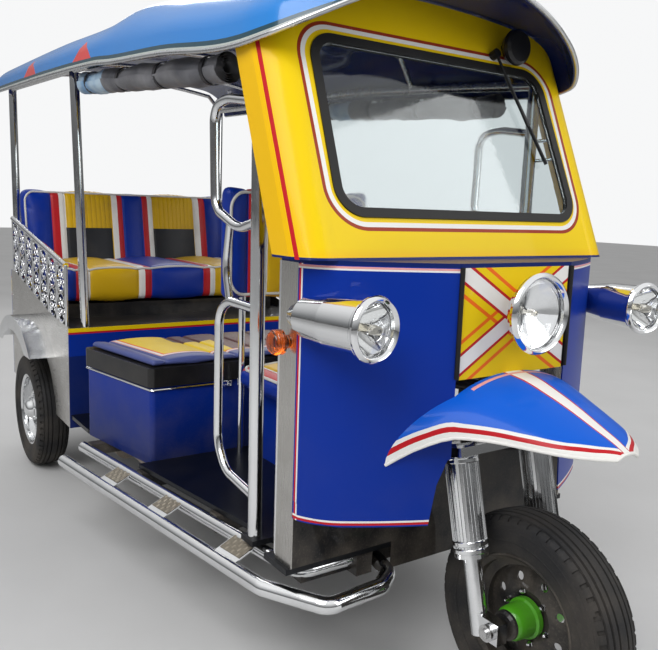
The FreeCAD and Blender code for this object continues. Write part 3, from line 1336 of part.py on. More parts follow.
PIECES = {
    "fork": fork, "front_axle": front_axle, "handlebar": handlebar, "grips": grips,
    "chassis": chassis, "floor": floor, "engine": engine, "exhaust": exhaust, "rear_axle": rear_axle,
    "leaf_springs": leaf_springs, "cowl": cowl, "centre_panel": centre_panel,
    "front_bulkhead": front_bulkhead, "jambs": jambs, "windscreen_surround": surround,
    "windscreen_gasket": gasket, "windscreen_glass": windscreen, "wiper": wiper,
    "front_mudguard": front_mudguard, "headlamp": headlamp, "side_lamps": side_lamps,
    "lamp_lenses": lamp_lenses, "indicators": indicators, "visor_lamp": visor_lamp, "roof": roof,
    "roof_visor": roof_visor,
    "roof_frame": roof_frame, "front_posts": front_posts, "hoops": hoops,
    "running_boards": running_boards, "driver_pedestal": pedestal, "driver_cushion": driver_cushion,
    "backrest_frame": backrest_frame, "driver_backrest": driver_backrest, "engine_box": engine_box,
    "lid_tray": lid_tray, "lid_pad": lid_pad, "lid_hinge": lid_hinge, "bench_riser": bench_riser,
    "rear_deck": rear_deck, "side_panels": side_panels, "rear_mudguards": rear_mudguards,
    "rear_panel": rear_panel, "tail_lamps": tail_lamps, "rear_bumper": rear_bumper,
    "number_plate": number_plate, "bench_cushion": bench_cushion, "bench_backrest": bench_backrest,
    "rear_posts": rear_posts, "armrests": armrests, "side_curtains": side_curtains,
}

# Where two pieces of one body meet, the first is shaped to the second
SHAPED_TO = [
    ("roof_frame", "roof"), ("roof_frame", "roof_visor"), ("roof_frame", "windscreen_surround"), ("front_posts", "roof_frame"),
    ("front_posts", "windscreen_surround"), ("front_posts", "floor"), ("rear_posts", "roof_frame"),
    ("rear_posts", "rear_deck"), ("hoops", "front_posts"),
    ("running_boards", "chassis"), ("floor", "chassis"), ("engine_box", "floor"), ("armrests", "side_panels"),
    ("armrests", "rear_posts"), ("visor_lamp", "windscreen_surround"), ("front_tyre", "front_rim"),
    ("rear_tyre_left", "rear_rim_left"), ("rear_tyre_right", "rear_rim_right"), ("grips", "handlebar"),
    ("rear_axle", "engine"), ("exhaust", "engine"),
]

made = {name: make() for name, make in PIECES.items()}
made.update(wheels())
for name, neighbour in SHAPED_TO:
    made[name] = made[name].cut(made[neighbour])
for name, shape in made.items():
    export(name, shape)
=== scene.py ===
# %% [markdown]
# # A three-wheeled taxi, dressed
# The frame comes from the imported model: every panel, tube and wheel already has its place and size.
# This script gives those nodes their finishes and adds the pieces that only the eye needs,
# such as tyre treads, lamp glass, sewn cushions, beading and scrollwork.

import math

import bmesh
import bpy
from mathutils import Matrix, Vector


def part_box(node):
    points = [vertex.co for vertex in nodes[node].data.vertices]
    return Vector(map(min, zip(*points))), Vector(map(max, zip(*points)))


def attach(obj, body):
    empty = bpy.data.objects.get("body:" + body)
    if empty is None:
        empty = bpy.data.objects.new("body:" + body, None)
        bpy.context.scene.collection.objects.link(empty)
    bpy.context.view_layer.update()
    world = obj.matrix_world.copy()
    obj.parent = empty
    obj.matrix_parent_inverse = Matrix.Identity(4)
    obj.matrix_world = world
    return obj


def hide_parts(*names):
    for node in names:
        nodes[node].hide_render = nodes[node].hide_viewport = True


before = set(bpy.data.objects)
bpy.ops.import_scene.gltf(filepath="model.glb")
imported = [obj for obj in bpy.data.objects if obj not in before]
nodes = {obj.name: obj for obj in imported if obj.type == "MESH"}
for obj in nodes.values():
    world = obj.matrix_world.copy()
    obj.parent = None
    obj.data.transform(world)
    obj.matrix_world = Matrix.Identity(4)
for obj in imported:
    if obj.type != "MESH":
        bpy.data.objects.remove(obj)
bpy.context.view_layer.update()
scene = bpy.context.scene
print("nodes loaded:", len(nodes))

# %% [markdown]
# The photograph was taken from the vehicle's front left corner, a little above the lamps.
# A camera is a point and three directions. Here they come from a yaw, a pitch and a small roll,
# which are the three turns a photographer makes with a camera in the hands.

# %% Camera
YAW, PITCH, ROLL = (math.radians(angle) for angle in (34.443, 8.853, 1.937))
FOCAL_LENGTH, PHOTO_WIDTH = 754.9, 658  # both in pixels of the photograph
EYE = Vector((2.490, -1.402, 1.229))
ahead = Vector((-math.cos(YAW) * math.cos(PITCH), math.sin(YAW) * math.cos(PITCH), -math.sin(PITCH)))
level = ahead.cross(Vector((0, 0, 1))).normalized()
above = level.cross(ahead)
across = level * math.cos(ROLL) + above * math.sin(ROLL)
upward = above * math.cos(ROLL) - level * math.sin(ROLL)
bpy.ops.object.camera_add()
camera = bpy.context.object
camera.name = "photo_camera"
camera.matrix_world = Matrix((
    (across.x, upward.x, -ahead.x, EYE.x),
    (across.y, upward.y, -ahead.y, EYE.y),
    (across.z, upward.z, -ahead.z, EYE.z),
    (0, 0, 0, 1),
))
camera.data.sensor_fit = "HORIZONTAL"
camera.data.sensor_width = 36.0
camera.data.lens = camera.data.sensor_width * FOCAL_LENGTH / PHOTO_WIDTH
camera.data.clip_end = 100
scene.camera = camera

# %% [markdown]
# A plain studio: a pale floor, a pale surround and three soft lamps. The floor keeps the shadow,
# which is what makes the wheels look heavy.

# %% Studio
SUN_SIDE = Vector((2.2, -3.4, 4.6))


def soft_lamp(name, place, aim, size, power):
    """Adds one square lamp that looks at a point."""
    bpy.ops.object.light_add(type="AREA", location=place)
    lamp = bpy.context.object
    lamp.name = name
    lamp.rotation_euler = (Vector(aim) - Vector(place)).to_track_quat("-Z", "Y").to_euler()
    lamp.data.size = size
    lamp.data.energy = power
    return lamp


soft_lamp("key_lamp", SUN_SIDE, (0, 0, 0.8), 3.2, 210)
soft_lamp("fill_lamp", (4.6, 2.6, 3.2), (0, 0, 0.9), 3.6, 95)
soft_lamp("back_lamp", (-4.4, 2.4, 3.8), (0, 0, 1.0), 3.0, 90)

# %% [markdown]
# Chrome shows nothing but its surroundings, so the surround that it mirrors runs from pale above to
# dark at the horizon, and the tubes get a dark and a light side. The camera, also through glass, sees
# plain pale grey instead, and all other rays get dim even light.

# %% Surround
def wire(tree, source, target):
    """Joins an output socket to an input socket."""
    tree.links.new(source, target)


world = bpy.data.worlds.new("pale_surround")
scene.world = world
world.use_nodes = True
sky = world.node_tree
sky.nodes.clear()
sky_out = sky.nodes.new("ShaderNodeOutputWorld")
seen = sky.nodes.new("ShaderNodeBackground")
seen.inputs["Color"].default_value = (0.93, 0.935, 0.94, 1)
lit = sky.nodes.new("ShaderNodeBackground")
lit.inputs["Strength"].default_value = 0.55
place = sky.nodes.new("ShaderNodeTexCoord")
split = sky.nodes.new("ShaderNodeSeparateXYZ")
ramp = sky.nodes.new("ShaderNodeValToRGB")
ramp.color_ramp.elements[0].position = 0.0
ramp.color_ramp.elements[0].color = (0.10, 0.10, 0.10, 1)
ramp.color_ramp.elements[1].position = 0.75
ramp.color_ramp.elements[1].color = (1.0, 1.0, 1.0, 1)
middle = ramp.color_ramp.elements.new(0.16)
middle.color = (0.22, 0.225, 0.23, 1)
mirror = sky.nodes.new("ShaderNodeBackground")
rays = sky.nodes.new("ShaderNodeLightPath")
either = sky.nodes.new("ShaderNodeMixShader")
shine = sky.nodes.new("ShaderNodeMixShader")
through = sky.nodes.new("ShaderNodeMath")
through.operation = "MAXIMUM"
wire(sky, place.outputs["Generated"], split.inputs[0])
wire(sky, split.outputs["Z"], ramp.inputs[0])
wire(sky, ramp.outputs["Color"], mirror.inputs["Color"])
wire(sky, rays.outputs["Is Camera Ray"], through.inputs[0])
wire(sky, rays.outputs["Is Transmission Ray"], through.inputs[1])
wire(sky, through.outputs[0], either.inputs["Fac"])
wire(sky, rays.outputs["Is Glossy Ray"], shine.inputs["Fac"])
wire(sky, lit.outputs[0], shine.inputs[1])
wire(sky, mirror.outputs[0], shine.inputs[2])
wire(sky, shine.outputs[0], either.inputs[1])
wire(sky, seen.outputs[0], either.inputs[2])
wire(sky, either.outputs[0], sky_out.inputs["Surface"])
scene.view_settings.view_transform = "Standard"

# %% [markdown]
# The floor is one wide plane. It belongs to the stage and not to the vehicle.

# %% Floor
bpy.ops.mesh.primitive_plane_add(size=60, location=(0, 0, 0))
ground = bpy.context.object
ground.name = "studio_floor"

# %% [markdown]
# A material is a small graph. Writing `new node, set value, join socket` for each line hides the idea,
# so short helpers keep it readable: they make nodes, join them, do arithmetic and start a surface.
# Values that are the same all over a surface go straight onto the shader.

# %% Material helpers
BLUE = (0.001, 0.026, 0.280)
# The next colour is painted shade: a darker blue laid on undersides, in gaps and on shaded low parts of
# blue panels.
SHADE_BLUE = (0.004, 0.016, 0.120)
BRIGHT_BLUE = (0.002, 0.100, 0.580)
SKY_BLUE = (0.008, 0.185, 0.560)
YELLOW = (0.800, 0.560, 0.003)
RED = (0.480, 0.012, 0.018)
ORANGE = (0.820, 0.140, 0.012)
WHITE = (0.780, 0.770, 0.740)
BLACK = (0.010, 0.010, 0.011)
PINK = (0.720, 0.330, 0.330)
SEAT_YELLOW = (0.640, 0.390, 0.006)


def new(tree, kind, **settings):
    """Adds a node and sets its options."""
    made = tree.nodes.new("ShaderNode" + kind)
    for option, value in settings.items():
        setattr(made, option, value)
    return made


def feed(tree, socket, value):
    """Puts a number, a colour or another socket into an input."""
    if isinstance(value, bpy.types.NodeSocket):
        tree.links.new(value, socket)
    elif hasattr(value, "__len__") and len(value) == 3 and socket.type == "RGBA":
        socket.default_value = (*value, 1)
    else:
        socket.default_value = value


def calc(tree, operation, *values, clamp=False):
    """One step of arithmetic between sockets and numbers."""
    made = new(tree, "Math", operation=operation, use_clamp=clamp)
    for socket, value in zip(made.inputs, values):
        feed(tree, socket, value)
    return made.outputs[0]


def blend_colour(tree, share, first, second):
    """Mixes two colours by a share from 0 to 1."""
    made = new(tree, "Mix", data_type="RGBA")
    feed(tree, made.inputs["Factor"], share)
    feed(tree, made.inputs[6], first)
    feed(tree, made.inputs[7], second)
    return made.outputs[2]


def object_axes(tree):
    """The surface point's own x, y and z in metres, and the whole vector."""
    place = new(tree, "TexCoord")
    split = new(tree, "SeparateXYZ")
    wire(tree, place.outputs["Object"], split.inputs[0])
    return split.outputs[0], split.outputs[1], split.outputs[2], place.outputs["Object"]


def noise(tree, vector, scale, detail=3.0, stretch=None):
    """Soft clouds from 0 to 1, stretched along an axis when asked."""
    if stretch:
        turned = new(tree, "Mapping")
        turned.inputs["Scale"].default_value = stretch
        feed(tree, turned.inputs["Vector"], vector)
        vector = turned.outputs[0]
    made = new(tree, "TexNoise")
    feed(tree, made.inputs["Vector"], vector)
    feed(tree, made.inputs["Scale"], scale)
    feed(tree, made.inputs["Detail"], detail)
    return made.outputs[0]


def remap(tree, value, low, high, to_low=0.0, to_high=1.0):
    """Stretches a range of numbers to another, and holds it at the ends."""
    made = new(tree, "MapRange", clamp=True)
    for socket, number in zip(made.inputs, (value, low, high, to_low, to_high)):
        feed(tree, socket, number)
    return made.outputs[0]


def bands(tree, coordinate, low, high, stops):
    """Hard-edged stripes along a coordinate: each stop is where a colour starts."""
    share = remap(tree, coordinate, low, high)
    made = new(tree, "ValToRGB")
    made.color_ramp.interpolation = "CONSTANT"
    slots = made.color_ramp.elements
    while len(slots) < len(stops):
        slots.new(0.99)
    for slot, (start, colour) in zip(list(slots), stops):
        slot.position = max(0.0, min(1.0, (start - low) / (high - low)))
        slot.color = (*colour, 1)
    wire(tree, share, made.inputs[0])
    return made.outputs["Color"]


def near(tree, value, middle, half):
    """1 within half of a middle value, 0 outside it."""
    away = calc(tree, "ABSOLUTE", calc(tree, "SUBTRACT", value, middle))
    return calc(tree, "LESS_THAN", away, half)


def bump(tree, height, distance, strength=1.0, under=None):
    """Turns a height into a surface normal."""
    made = new(tree, "Bump")
    made.inputs["Distance"].default_value = distance
    made.inputs["Strength"].default_value = strength
    feed(tree, made.inputs["Height"], height)
    if under:
        wire(tree, under, made.inputs["Normal"])
    return made.outputs[0]


def surface(name, colour, roughness=0.5, metallic=0.0, coat=0.0, sheen=0.0, coat_rough=0.05,
            ior=1.5, gloss=0.5):
    """A new material with one Principled shader; its constant values sit on the shader's sockets."""
    made = bpy.data.materials.new(name)
    made.use_nodes = True
    made.diffuse_color = (*colour, 1)
    shader = made.node_tree.nodes["Principled BSDF"]
    values = {"Base Color": (*colour, 1), "Roughness": roughness, "Metallic": metallic, "Coat Weight": coat,
              "Coat Roughness": coat_rough, "Sheen Weight": sheen, "IOR": ior, "Specular IOR Level": gloss}
    for socket, value in values.items():
        shader.inputs[socket].default_value = value
    return made, made.node_tree, shader


# %% [markdown]
# Three effects come back on nearly every surface of a working vehicle, so each is built once as a
# node group with its own dials: dust that settles low and in the open, fine scuffs that dull a gloss,
# and the pebble grain of vinyl and rubber.

# %% Shared effects as node groups
def group(name, inputs, outputs):
    """Starts a node group with named sockets and returns its tree, inputs node and outputs node."""
    tree = bpy.data.node_groups.new(name, "ShaderNodeTree")
    for label, kind, value in inputs:
        socket = tree.interface.new_socket(label, in_out="INPUT", socket_type="NodeSocket" + kind)
        socket.default_value = (*value, 1) if kind == "Color" else value
    for label, kind in outputs:
        tree.interface.new_socket(label, in_out="OUTPUT", socket_type="NodeSocket" + kind)
    return tree, tree.nodes.new("NodeGroupInput"), tree.nodes.new("NodeGroupOutput")


def use(tree, effect, **values):
    """Places a node group in a material and fills its inputs; underscores stand for spaces."""
    made = new(tree, "Group", node_tree=effect)
    for label, value in values.items():
        feed(tree, made.inputs[label.replace("_", " ")], value)
    return made.outputs


DUST_COLOUR = (0.150, 0.128, 0.104)
DUST, dust_in, dust_out = group(
    "Road dust",
    [("Colour", "Color", BLUE), ("Roughness", "Float", 0.3),
     ("Amount", "Float", 0.4), ("Reach", "Float", 0.9)],
    [("Colour", "Color"), ("Roughness", "Float")],
)
_, _, dust_z, dust_point = object_axes(DUST)
low_down = remap(DUST, dust_z, dust_in.outputs["Reach"], 0.18, 0.0, 1.0)
patches = remap(DUST, noise(DUST, dust_point, 9.0, 6.0), 0.38, 0.72)
specks = remap(DUST, noise(DUST, dust_point, 170.0, 2.0), 0.52, 0.75)
spotted = calc(DUST, "MULTIPLY_ADD", specks, 0.35, patches)
settled = calc(DUST, "MULTIPLY", spotted, calc(DUST, "MULTIPLY_ADD", low_down, 0.85, 0.10))
amount = calc(DUST, "MULTIPLY", settled, dust_in.outputs["Amount"], clamp=True)
dusted = blend_colour(DUST, amount, dust_in.outputs["Colour"], DUST_COLOUR)
wire(DUST, dusted, dust_out.inputs["Colour"])
duller = calc(DUST, "MULTIPLY_ADD", amount, 0.55, dust_in.outputs["Roughness"], clamp=True)
wire(DUST, duller, dust_out.inputs["Roughness"])

SCUFF, scuff_in, scuff_out = group(
    "Fine scuffs",
    [("Roughness", "Float", 0.1), ("Amount", "Float", 0.1)],
    [("Roughness", "Float"), ("Height", "Float")],
)
_, _, _, scuff_point = object_axes(SCUFF)
smears = remap(SCUFF, noise(SCUFF, scuff_point, 14.0, 5.0), 0.35, 0.75)
hairs = remap(SCUFF, noise(SCUFF, scuff_point, 60.0, 3.0, stretch=(1.0, 9.0, 0.7)), 0.5, 0.7)
wear = calc(SCUFF, "MULTIPLY_ADD", hairs, 0.4, smears)
scuffed = calc(SCUFF, "MULTIPLY_ADD", wear, scuff_in.outputs["Amount"], scuff_in.outputs["Roughness"])
wire(SCUFF, scuffed, scuff_out.inputs["Roughness"])
wire(SCUFF, wear, scuff_out.inputs["Height"])

GRAIN, grain_in, grain_out = group(
    "Pebble grain",
    [("Size", "Float", 420.0), ("Creases", "Float", 0.3)],
    [("Height", "Float")],
)
_, _, _, grain_point = object_axes(GRAIN)
cells = new(GRAIN, "TexVoronoi", feature="SMOOTH_F1")
cells.inputs["Smoothness"].default_value = 0.5
wire(GRAIN, grain_point, cells.inputs["Vector"])
wire(GRAIN, grain_in.outputs["Size"], cells.inputs["Scale"])
crease = noise(GRAIN, grain_point, 26.0, 5.0)
grained = calc(GRAIN, "MULTIPLY_ADD", crease, grain_in.outputs["Creases"], cells.outputs["Distance"])
wire(GRAIN, grained, grain_out.inputs["Height"])
print("effect groups:", [tree.name for tree in bpy.data.node_groups])

# %% [markdown]
# Finishes follow, one function for each family. Paint is a colour under a clear coat. Chrome is a
# mirror that fingers and rain have touched. Stainless sheet is brushed along its length. Rubber and
# vinyl take most of their look from grain and from where dust lies.

# %% Finish families
def connect(tree, shader, dusty, normal):
    """Leads a dusty colour and roughness and a bumped normal into the shader."""
    wire(tree, dusty["Colour"], shader.inputs["Base Color"])
    wire(tree, dusty["Roughness"], shader.inputs["Roughness"])
    wire(tree, normal, shader.inputs["Normal"])


def paint(name, colour, dust=0.08, roughness=0.34, coat=0.10, reach=0.80, gloss=0.15):
    """Gloss paint; colour may be a function that draws stripes from the material's own tree."""
    plain = BLUE if callable(colour) else colour
    made, tree, shader = surface(name, plain, roughness, coat=coat, coat_rough=0.04, ior=1.38, gloss=gloss)
    tint = colour(tree) if callable(colour) else colour
    _, _, _, point = object_axes(tree)
    chalk = remap(tree, noise(tree, point, 2.4, 4.0), 0.35, 0.7, 0.0, 0.012)
    faded = blend_colour(tree, chalk, tint, (0.30, 0.32, 0.36))
    dusty = use(tree, DUST, Colour=faded, Roughness=roughness, Amount=dust, Reach=reach)
    connect(tree, shader, dusty, bump(tree, noise(tree, point, 260.0, 2.0), 0.00012, 0.35))
    return made


def chrome(name, colour=(0.80, 0.81, 0.82), roughness=0.045, amount=0.10, dust=0.16):
    """Plated steel with smears, hairline scuffs and a little road dust low down."""
    made, tree, shader = surface(name, colour, roughness, metallic=1.0)
    worn = use(tree, SCUFF, Roughness=roughness, Amount=amount)
    dusty = use(tree, DUST, Colour=colour, Roughness=worn["Roughness"], Amount=dust, Reach=0.7)
    connect(tree, shader, dusty, bump(tree, worn["Height"], 0.00008, 0.3))
    return made


def stainless(name, stretch=(0.6, 30.0, 90.0), dust=0.3):
    """Brushed sheet: long fine lines in roughness and height."""
    colour = (0.56, 0.545, 0.52)
    made, tree, shader = surface(name, colour, 0.24, metallic=1.0)
    _, _, _, point = object_axes(tree)
    lines = noise(tree, point, 22.0, 6.0, stretch=stretch)
    roughness = remap(tree, lines, 0.3, 0.7, 0.16, 0.34)
    dusty = use(tree, DUST, Colour=colour, Roughness=roughness, Amount=dust, Reach=1.0)
    connect(tree, shader, dusty, bump(tree, lines, 0.0002, 0.25))
    return made


def rubber(name, colour=(0.016, 0.016, 0.017), roughness=0.62, dust=0.45, size=700.0, reach=0.7):
    """Matt black rubber with a fine tooth and dust in it."""
    made, tree, shader = surface(name, colour, roughness, gloss=0.25)
    dusty = use(tree, DUST, Colour=colour, Roughness=roughness, Amount=dust, Reach=reach)
    height = use(tree, GRAIN, Size=size, Creases=0.3)["Height"]
    connect(tree, shader, dusty, bump(tree, height, 0.0004, 0.35))
    return made


def vinyl(name, colour, roughness=0.40, dust=0.05, sheen=0.02, channels=None):
    """Seat vinyl with pebble grain, soft creases and a dull gloss; colour may be a function."""
    plain = YELLOW if callable(colour) else colour
    made, tree, shader = surface(name, plain, roughness, coat=0.06, coat_rough=0.3, sheen=sheen,
                                 ior=1.40, gloss=0.3)
    tint = colour(tree) if callable(colour) else colour
    _, _, _, point = object_axes(tree)
    grubby = remap(tree, noise(tree, point, 7.0, 5.0), 0.5, 0.8, 0.0, 0.22)
    used = blend_colour(tree, grubby, tint, (0.10, 0.085, 0.07))
    dusty = use(tree, DUST, Colour=used, Roughness=roughness, Amount=dust, Reach=1.4)
    height = use(tree, GRAIN, Size=520.0, Creases=0.9)["Height"]
    grained = bump(tree, height, 0.0006, 0.4)
    if channels:
        grained = bump(tree, channels(tree), 0.004, 0.8, grained)
    connect(tree, shader, dusty, grained)
    return made


def clear(name, tint, roughness=0.02, ior=1.5, flutes=None):
    """Glass or a clear lens; flutes is a function that gives a height for moulded ribs."""
    made, tree, shader = surface(name, tint, roughness, ior=ior)
    shader.inputs["Transmission Weight"].default_value = 1.0
    _, _, _, point = object_axes(tree)
    film = remap(tree, noise(tree, point, 5.0, 6.0), 0.45, 0.8, roughness, roughness + 0.05)
    wire(tree, film, shader.inputs["Roughness"])
    height = flutes(tree) if flutes else noise(tree, point, 40.0, 2.0)
    wire(tree, bump(tree, height, 0.003 if flutes else 0.0001, 0.6), shader.inputs["Normal"])
    return made


# %% [markdown]
# Painted stripes are drawn from the surface point itself: a stripe is a place where a distance lies
# between two numbers. The cowl has a red and white line round its rear and lower edges, the screen
# surround a white line round the window, and the centre panel two crossed ribbons.

# %% Stripe helpers
def facing(tree):
    """The way a surface faces, as x, y and z."""
    geometry = new(tree, "NewGeometry")
    parts = new(tree, "SeparateXYZ")
    wire(tree, geometry.outputs["Normal"], parts.inputs[0])
    return parts.outputs


def laid_up(tree):
    """The v of a piece's own map: the way up from its rim or hem."""
    laid = new(tree, "UVMap")
    parts = new(tree, "SeparateXYZ")
    wire(tree, laid.outputs[0], parts.inputs[0])
    return parts.outputs[1]


def below(tree, value, limit, under, over):
    """Lays a colour over another wherever a value is below a limit."""
    return blend_colour(tree, calc(tree, "LESS_THAN", value, limit), under, over)


def edging(tree, under, distance, first=RED, second=WHITE, offset=0.004, width=0.006):
    """A coloured line and a white line inside an edge, at a distance from it."""
    inked = blend_colour(tree, near(tree, distance, offset + width / 2, width / 2), under, first)
    return blend_colour(tree, near(tree, distance, offset + width * 1.4, width * 0.4), inked, second)


# %% Stripe patterns for the painted panels
COWL_BACK = 1.035
COWL_LOW, COWL_HIGH = 0.490, 1.103
DARK_RED = (0.30, 0.035, 0.012)


def cowl_colours(tree):
    """Royal blue with lines along the rear, lower and upper edges; along the upper edge the pink line is
    paint and the white line is a painted highlight of a beading.
    """
    x, _, z, _ = object_axes(tree)
    rear = calc(tree, "SUBTRACT", x, COWL_BACK)
    lined = edging(tree, BLUE, rear)
    lined = edging(tree, lined, calc(tree, "SUBTRACT", z, COWL_LOW))
    # Upper edge: the pink line is paint; the white line under it is a painted highlight of a beading.
    return edging(tree, lined, calc(tree, "SUBTRACT", COWL_HIGH, z), PINK, WHITE, 0.002, 0.005)


def crossed_ribbons(tree):
    """Yellow panel with two crossed ribbons, white between red, and thin orange chevrons."""
    _, y, z, _ = object_axes(tree)
    up = calc(tree, "SUBTRACT", z, 0.985)
    colour = YELLOW
    for lean in (0.60, -0.60):
        slope = calc(tree, "SUBTRACT", up, calc(tree, "MULTIPLY", y, lean))
        ribbon = calc(tree, "MULTIPLY", calc(tree, "ABSOLUTE", slope), 0.857)
        chevron = near(tree, ribbon, 0.046, 0.0045)
        colour = blend_colour(tree, chevron, colour, ORANGE)
    for lean in (0.60, -0.60):
        slope = calc(tree, "SUBTRACT", up, calc(tree, "MULTIPLY", y, lean))
        ribbon = calc(tree, "MULTIPLY", calc(tree, "ABSOLUTE", slope), 0.857)
        colour = below(tree, ribbon, 0.024, colour, RED)
        colour = below(tree, ribbon, 0.017, colour, WHITE)
    frame_line = calc(tree, "GREATER_THAN", calc(tree, "ABSOLUTE", y), 0.180)
    return blend_colour(tree, frame_line, colour, BLACK)


SCREEN_FOOT = 1.113
SCREEN_RAKE = math.radians(22.2)
WINDOW = {"middle": 0.338, "half_up": 0.235, "half_across": 0.4135, "round": 0.075}


def window_distance(tree):
    """How far a point of the raked screen lies outside the rounded window outline."""
    _, y, z, _ = object_axes(tree)
    up = calc(tree, "DIVIDE", calc(tree, "SUBTRACT", z, SCREEN_FOOT), math.cos(SCREEN_RAKE))
    tall = calc(tree, "ABSOLUTE", calc(tree, "SUBTRACT", up, WINDOW["middle"]))
    out_up = calc(tree, "SUBTRACT", tall, WINDOW["half_up"] - WINDOW["round"])
    out_across = calc(tree, "SUBTRACT", calc(tree, "ABSOLUTE", y), WINDOW["half_across"] - WINDOW["round"])
    a = calc(tree, "MAXIMUM", out_up, 0.0)
    b = calc(tree, "MAXIMUM", out_across, 0.0)
    corner = calc(tree, "SQRT", calc(tree, "MULTIPLY_ADD", a, a, calc(tree, "MULTIPLY", b, b)))
    inside = calc(tree, "MINIMUM", calc(tree, "MAXIMUM", out_up, out_across), 0.0)
    return calc(tree, "SUBTRACT", calc(tree, "ADD", corner, inside), WINDOW["round"]), up


def surround_colours(tree):
    """Yellow with painted shade in orange towards its wrapped edges and foot, a strip of painted shade at
    its foot, and a white and a dark red line close round the window.
    """
    distance, up = window_distance(tree)
    _, y, _, _ = object_axes(tree)
    # Painted shade: the yellow turns orange towards the side edges, where the surround wraps away, and at
    # its foot.
    side = remap(tree, calc(tree, "ABSOLUTE", y), 0.485, 0.528)
    foot = remap(tree, up, 0.030, 0.0)
    edge_shade = calc(tree, "MULTIPLY", calc(tree, "MAXIMUM", side, foot), 0.22)
    edge_shaded_yellow = blend_colour(tree, edge_shade, YELLOW, ORANGE)
    lined = edging(tree, edge_shaded_yellow, distance, WHITE, DARK_RED, 0.011, 0.012)
    # Painted shade: a 6 mm strip of darker blue at the foot stands for the shaded gap above the cowl.
    lined = below(tree, up, 0.006, lined, SHADE_BLUE)
    return blend_colour(tree, near(tree, calc(tree, "ABSOLUTE", y), 0.5240, 0.0028), lined, RED)


def riser_colours(tree):
    """Bench front: a thin yellow band with a red line on top, blue below, and painted shade in a darker
    blue below the height of the engine box ahead of it.
    """
    _, _, z, _ = object_axes(tree)
    # Below z 0.600, about the top of the engine box ahead, the darker blue is painted shade.
    stops = [(0.0, SHADE_BLUE), (0.600, BLUE), (0.690, RED), (0.698, YELLOW)]
    return bands(tree, z, 0.0, 1.0, stops)


def rear_colours(tree):
    """Rear wall: blue with a yellow belt between red and white lines."""
    _, _, z, _ = object_axes(tree)
    belt = [(0.734, RED), (0.744, WHITE), (0.752, YELLOW), (0.812, WHITE), (0.820, RED), (0.830, BLUE)]
    stops = [(0.0, BLUE), (0.384, WHITE), (0.392, BLUE), *belt]
    return bands(tree, z, 0.0, 1.0, stops)


def mudguard_colours(tree):
    """Blue with rim lines, the outer white one a painted highlight, a white ridge between red lines, a pink
    line behind, and painted shade on faces turned down.
    """
    x, y, _, _ = object_axes(tree)
    # The outer white band along the rim is a painted highlight of the rolled rim; the red band and the
    # inner white band are paint.
    rim_highlight_and_lines = [(0.0, WHITE), (0.0095, RED), (0.0200, WHITE), (0.0270, BRIGHT_BLUE)]
    colour = bands(tree, laid_up(tree), 0.0, 0.4, rim_highlight_and_lines)
    side = calc(tree, "ABSOLUTE", y)
    taper = remap(tree, x, 1.250, 1.570, 1.0, 0.35)
    ridge = calc(tree, "DIVIDE", side, taper)
    colour = below(tree, ridge, 0.034, colour, RED)
    colour = below(tree, ridge, 0.027, colour, WHITE)
    rear_line = calc(tree, "MULTIPLY", near(tree, x, 1.264, 0.005), calc(tree, "LESS_THAN", side, 0.150))
    colour = blend_colour(tree, rear_line, colour, PINK)
    # Faces turned downwards get a darker blue: painted shade.
    return below(tree, facing(tree)[2], -0.10, colour, SHADE_BLUE)


def box_colours(tree):
    """Engine box: blue with painted shade darkening it towards its foot; its trim strip and rim are pieces
    of their own.
    """
    _, _, z, _ = object_axes(tree)
    # Painted shade: darker blue from z 0.62 down to z 0.36.
    return blend_colour(tree, remap(tree, z, 0.36, 0.62), SHADE_BLUE, BLUE)


HEM_LINE, TEAL_SHEEN_TOP = 0.011, 0.024
FLASHES = (-0.31, -0.98)


def roof_colours(tree):
    """Bright blue shell with a silver hem, a dark teal band over it as a painted sheen, two red flashes on
    each side and painted shade on faces turned down.
    """
    x, _, _, _ = object_axes(tree)
    up = laid_up(tree)
    # The dark teal band between the silver hem and the sky blue is a painted sheen.
    stops = [(0.0, (0.42, 0.45, 0.42)), (HEM_LINE, (0.004, 0.045, 0.07)), (TEAL_SHEEN_TOP, SKY_BLUE)]
    colour = bands(tree, up, 0.0, 0.4, stops)
    for where in FLASHES:
        away = calc(tree, "ABSOLUTE", calc(tree, "SUBTRACT", x, where))
        flash = calc(tree, "LESS_THAN", calc(tree, "MULTIPLY_ADD", away, 0.75, up), 0.095)
        above_hem = calc(tree, "GREATER_THAN", up, TEAL_SHEEN_TOP)
        colour = blend_colour(tree, calc(tree, "MULTIPLY", flash, above_hem), colour, (0.62, 0.035, 0.03))
    # Faces turned downwards get a darker blue: painted shade.
    return below(tree, facing(tree)[2], -0.15, colour, SHADE_BLUE)


# %% [markdown]
# The seats are sewn from panels in three colours. Each row of panels is the same on both sides of the
# middle, so only its right half is listed, and a helper mirrors it.

# %% Seat patterns
def mirrored(middle, half):
    """Band starts over both sides, from the places where each colour starts on the right half."""
    colours = [middle] + [colour for _, colour in half]
    left = [(-start, colour) for (start, _), colour in zip(half, colours)]
    return [(-0.60, half[-1][1])] + left[::-1] + half


BACKREST_STOPS = mirrored(BLUE, [(0.052, RED), (0.082, WHITE), (0.112, SEAT_YELLOW), (0.345, WHITE),
                                 (0.379, RED), (0.413, BLUE)])
SEAT_STOPS = mirrored(BLUE, [(0.13, RED), (0.16, WHITE), (0.19, SEAT_YELLOW), (0.41, WHITE), (0.44, RED),
                             (0.47, BLUE)])
DRIVER_STOPS = mirrored(SEAT_YELLOW, [(0.130, WHITE), (0.150, RED), (0.205, BLUE)])
PANEL_MIDDLE, PANEL_HALF, PANEL_FOOT = 0.2285, 0.1165, 1.085


def plain_back(tree, colour):
    """Leaves the back of a seat blue."""
    return below(tree, facing(tree)[0], -0.5, colour, BLUE)


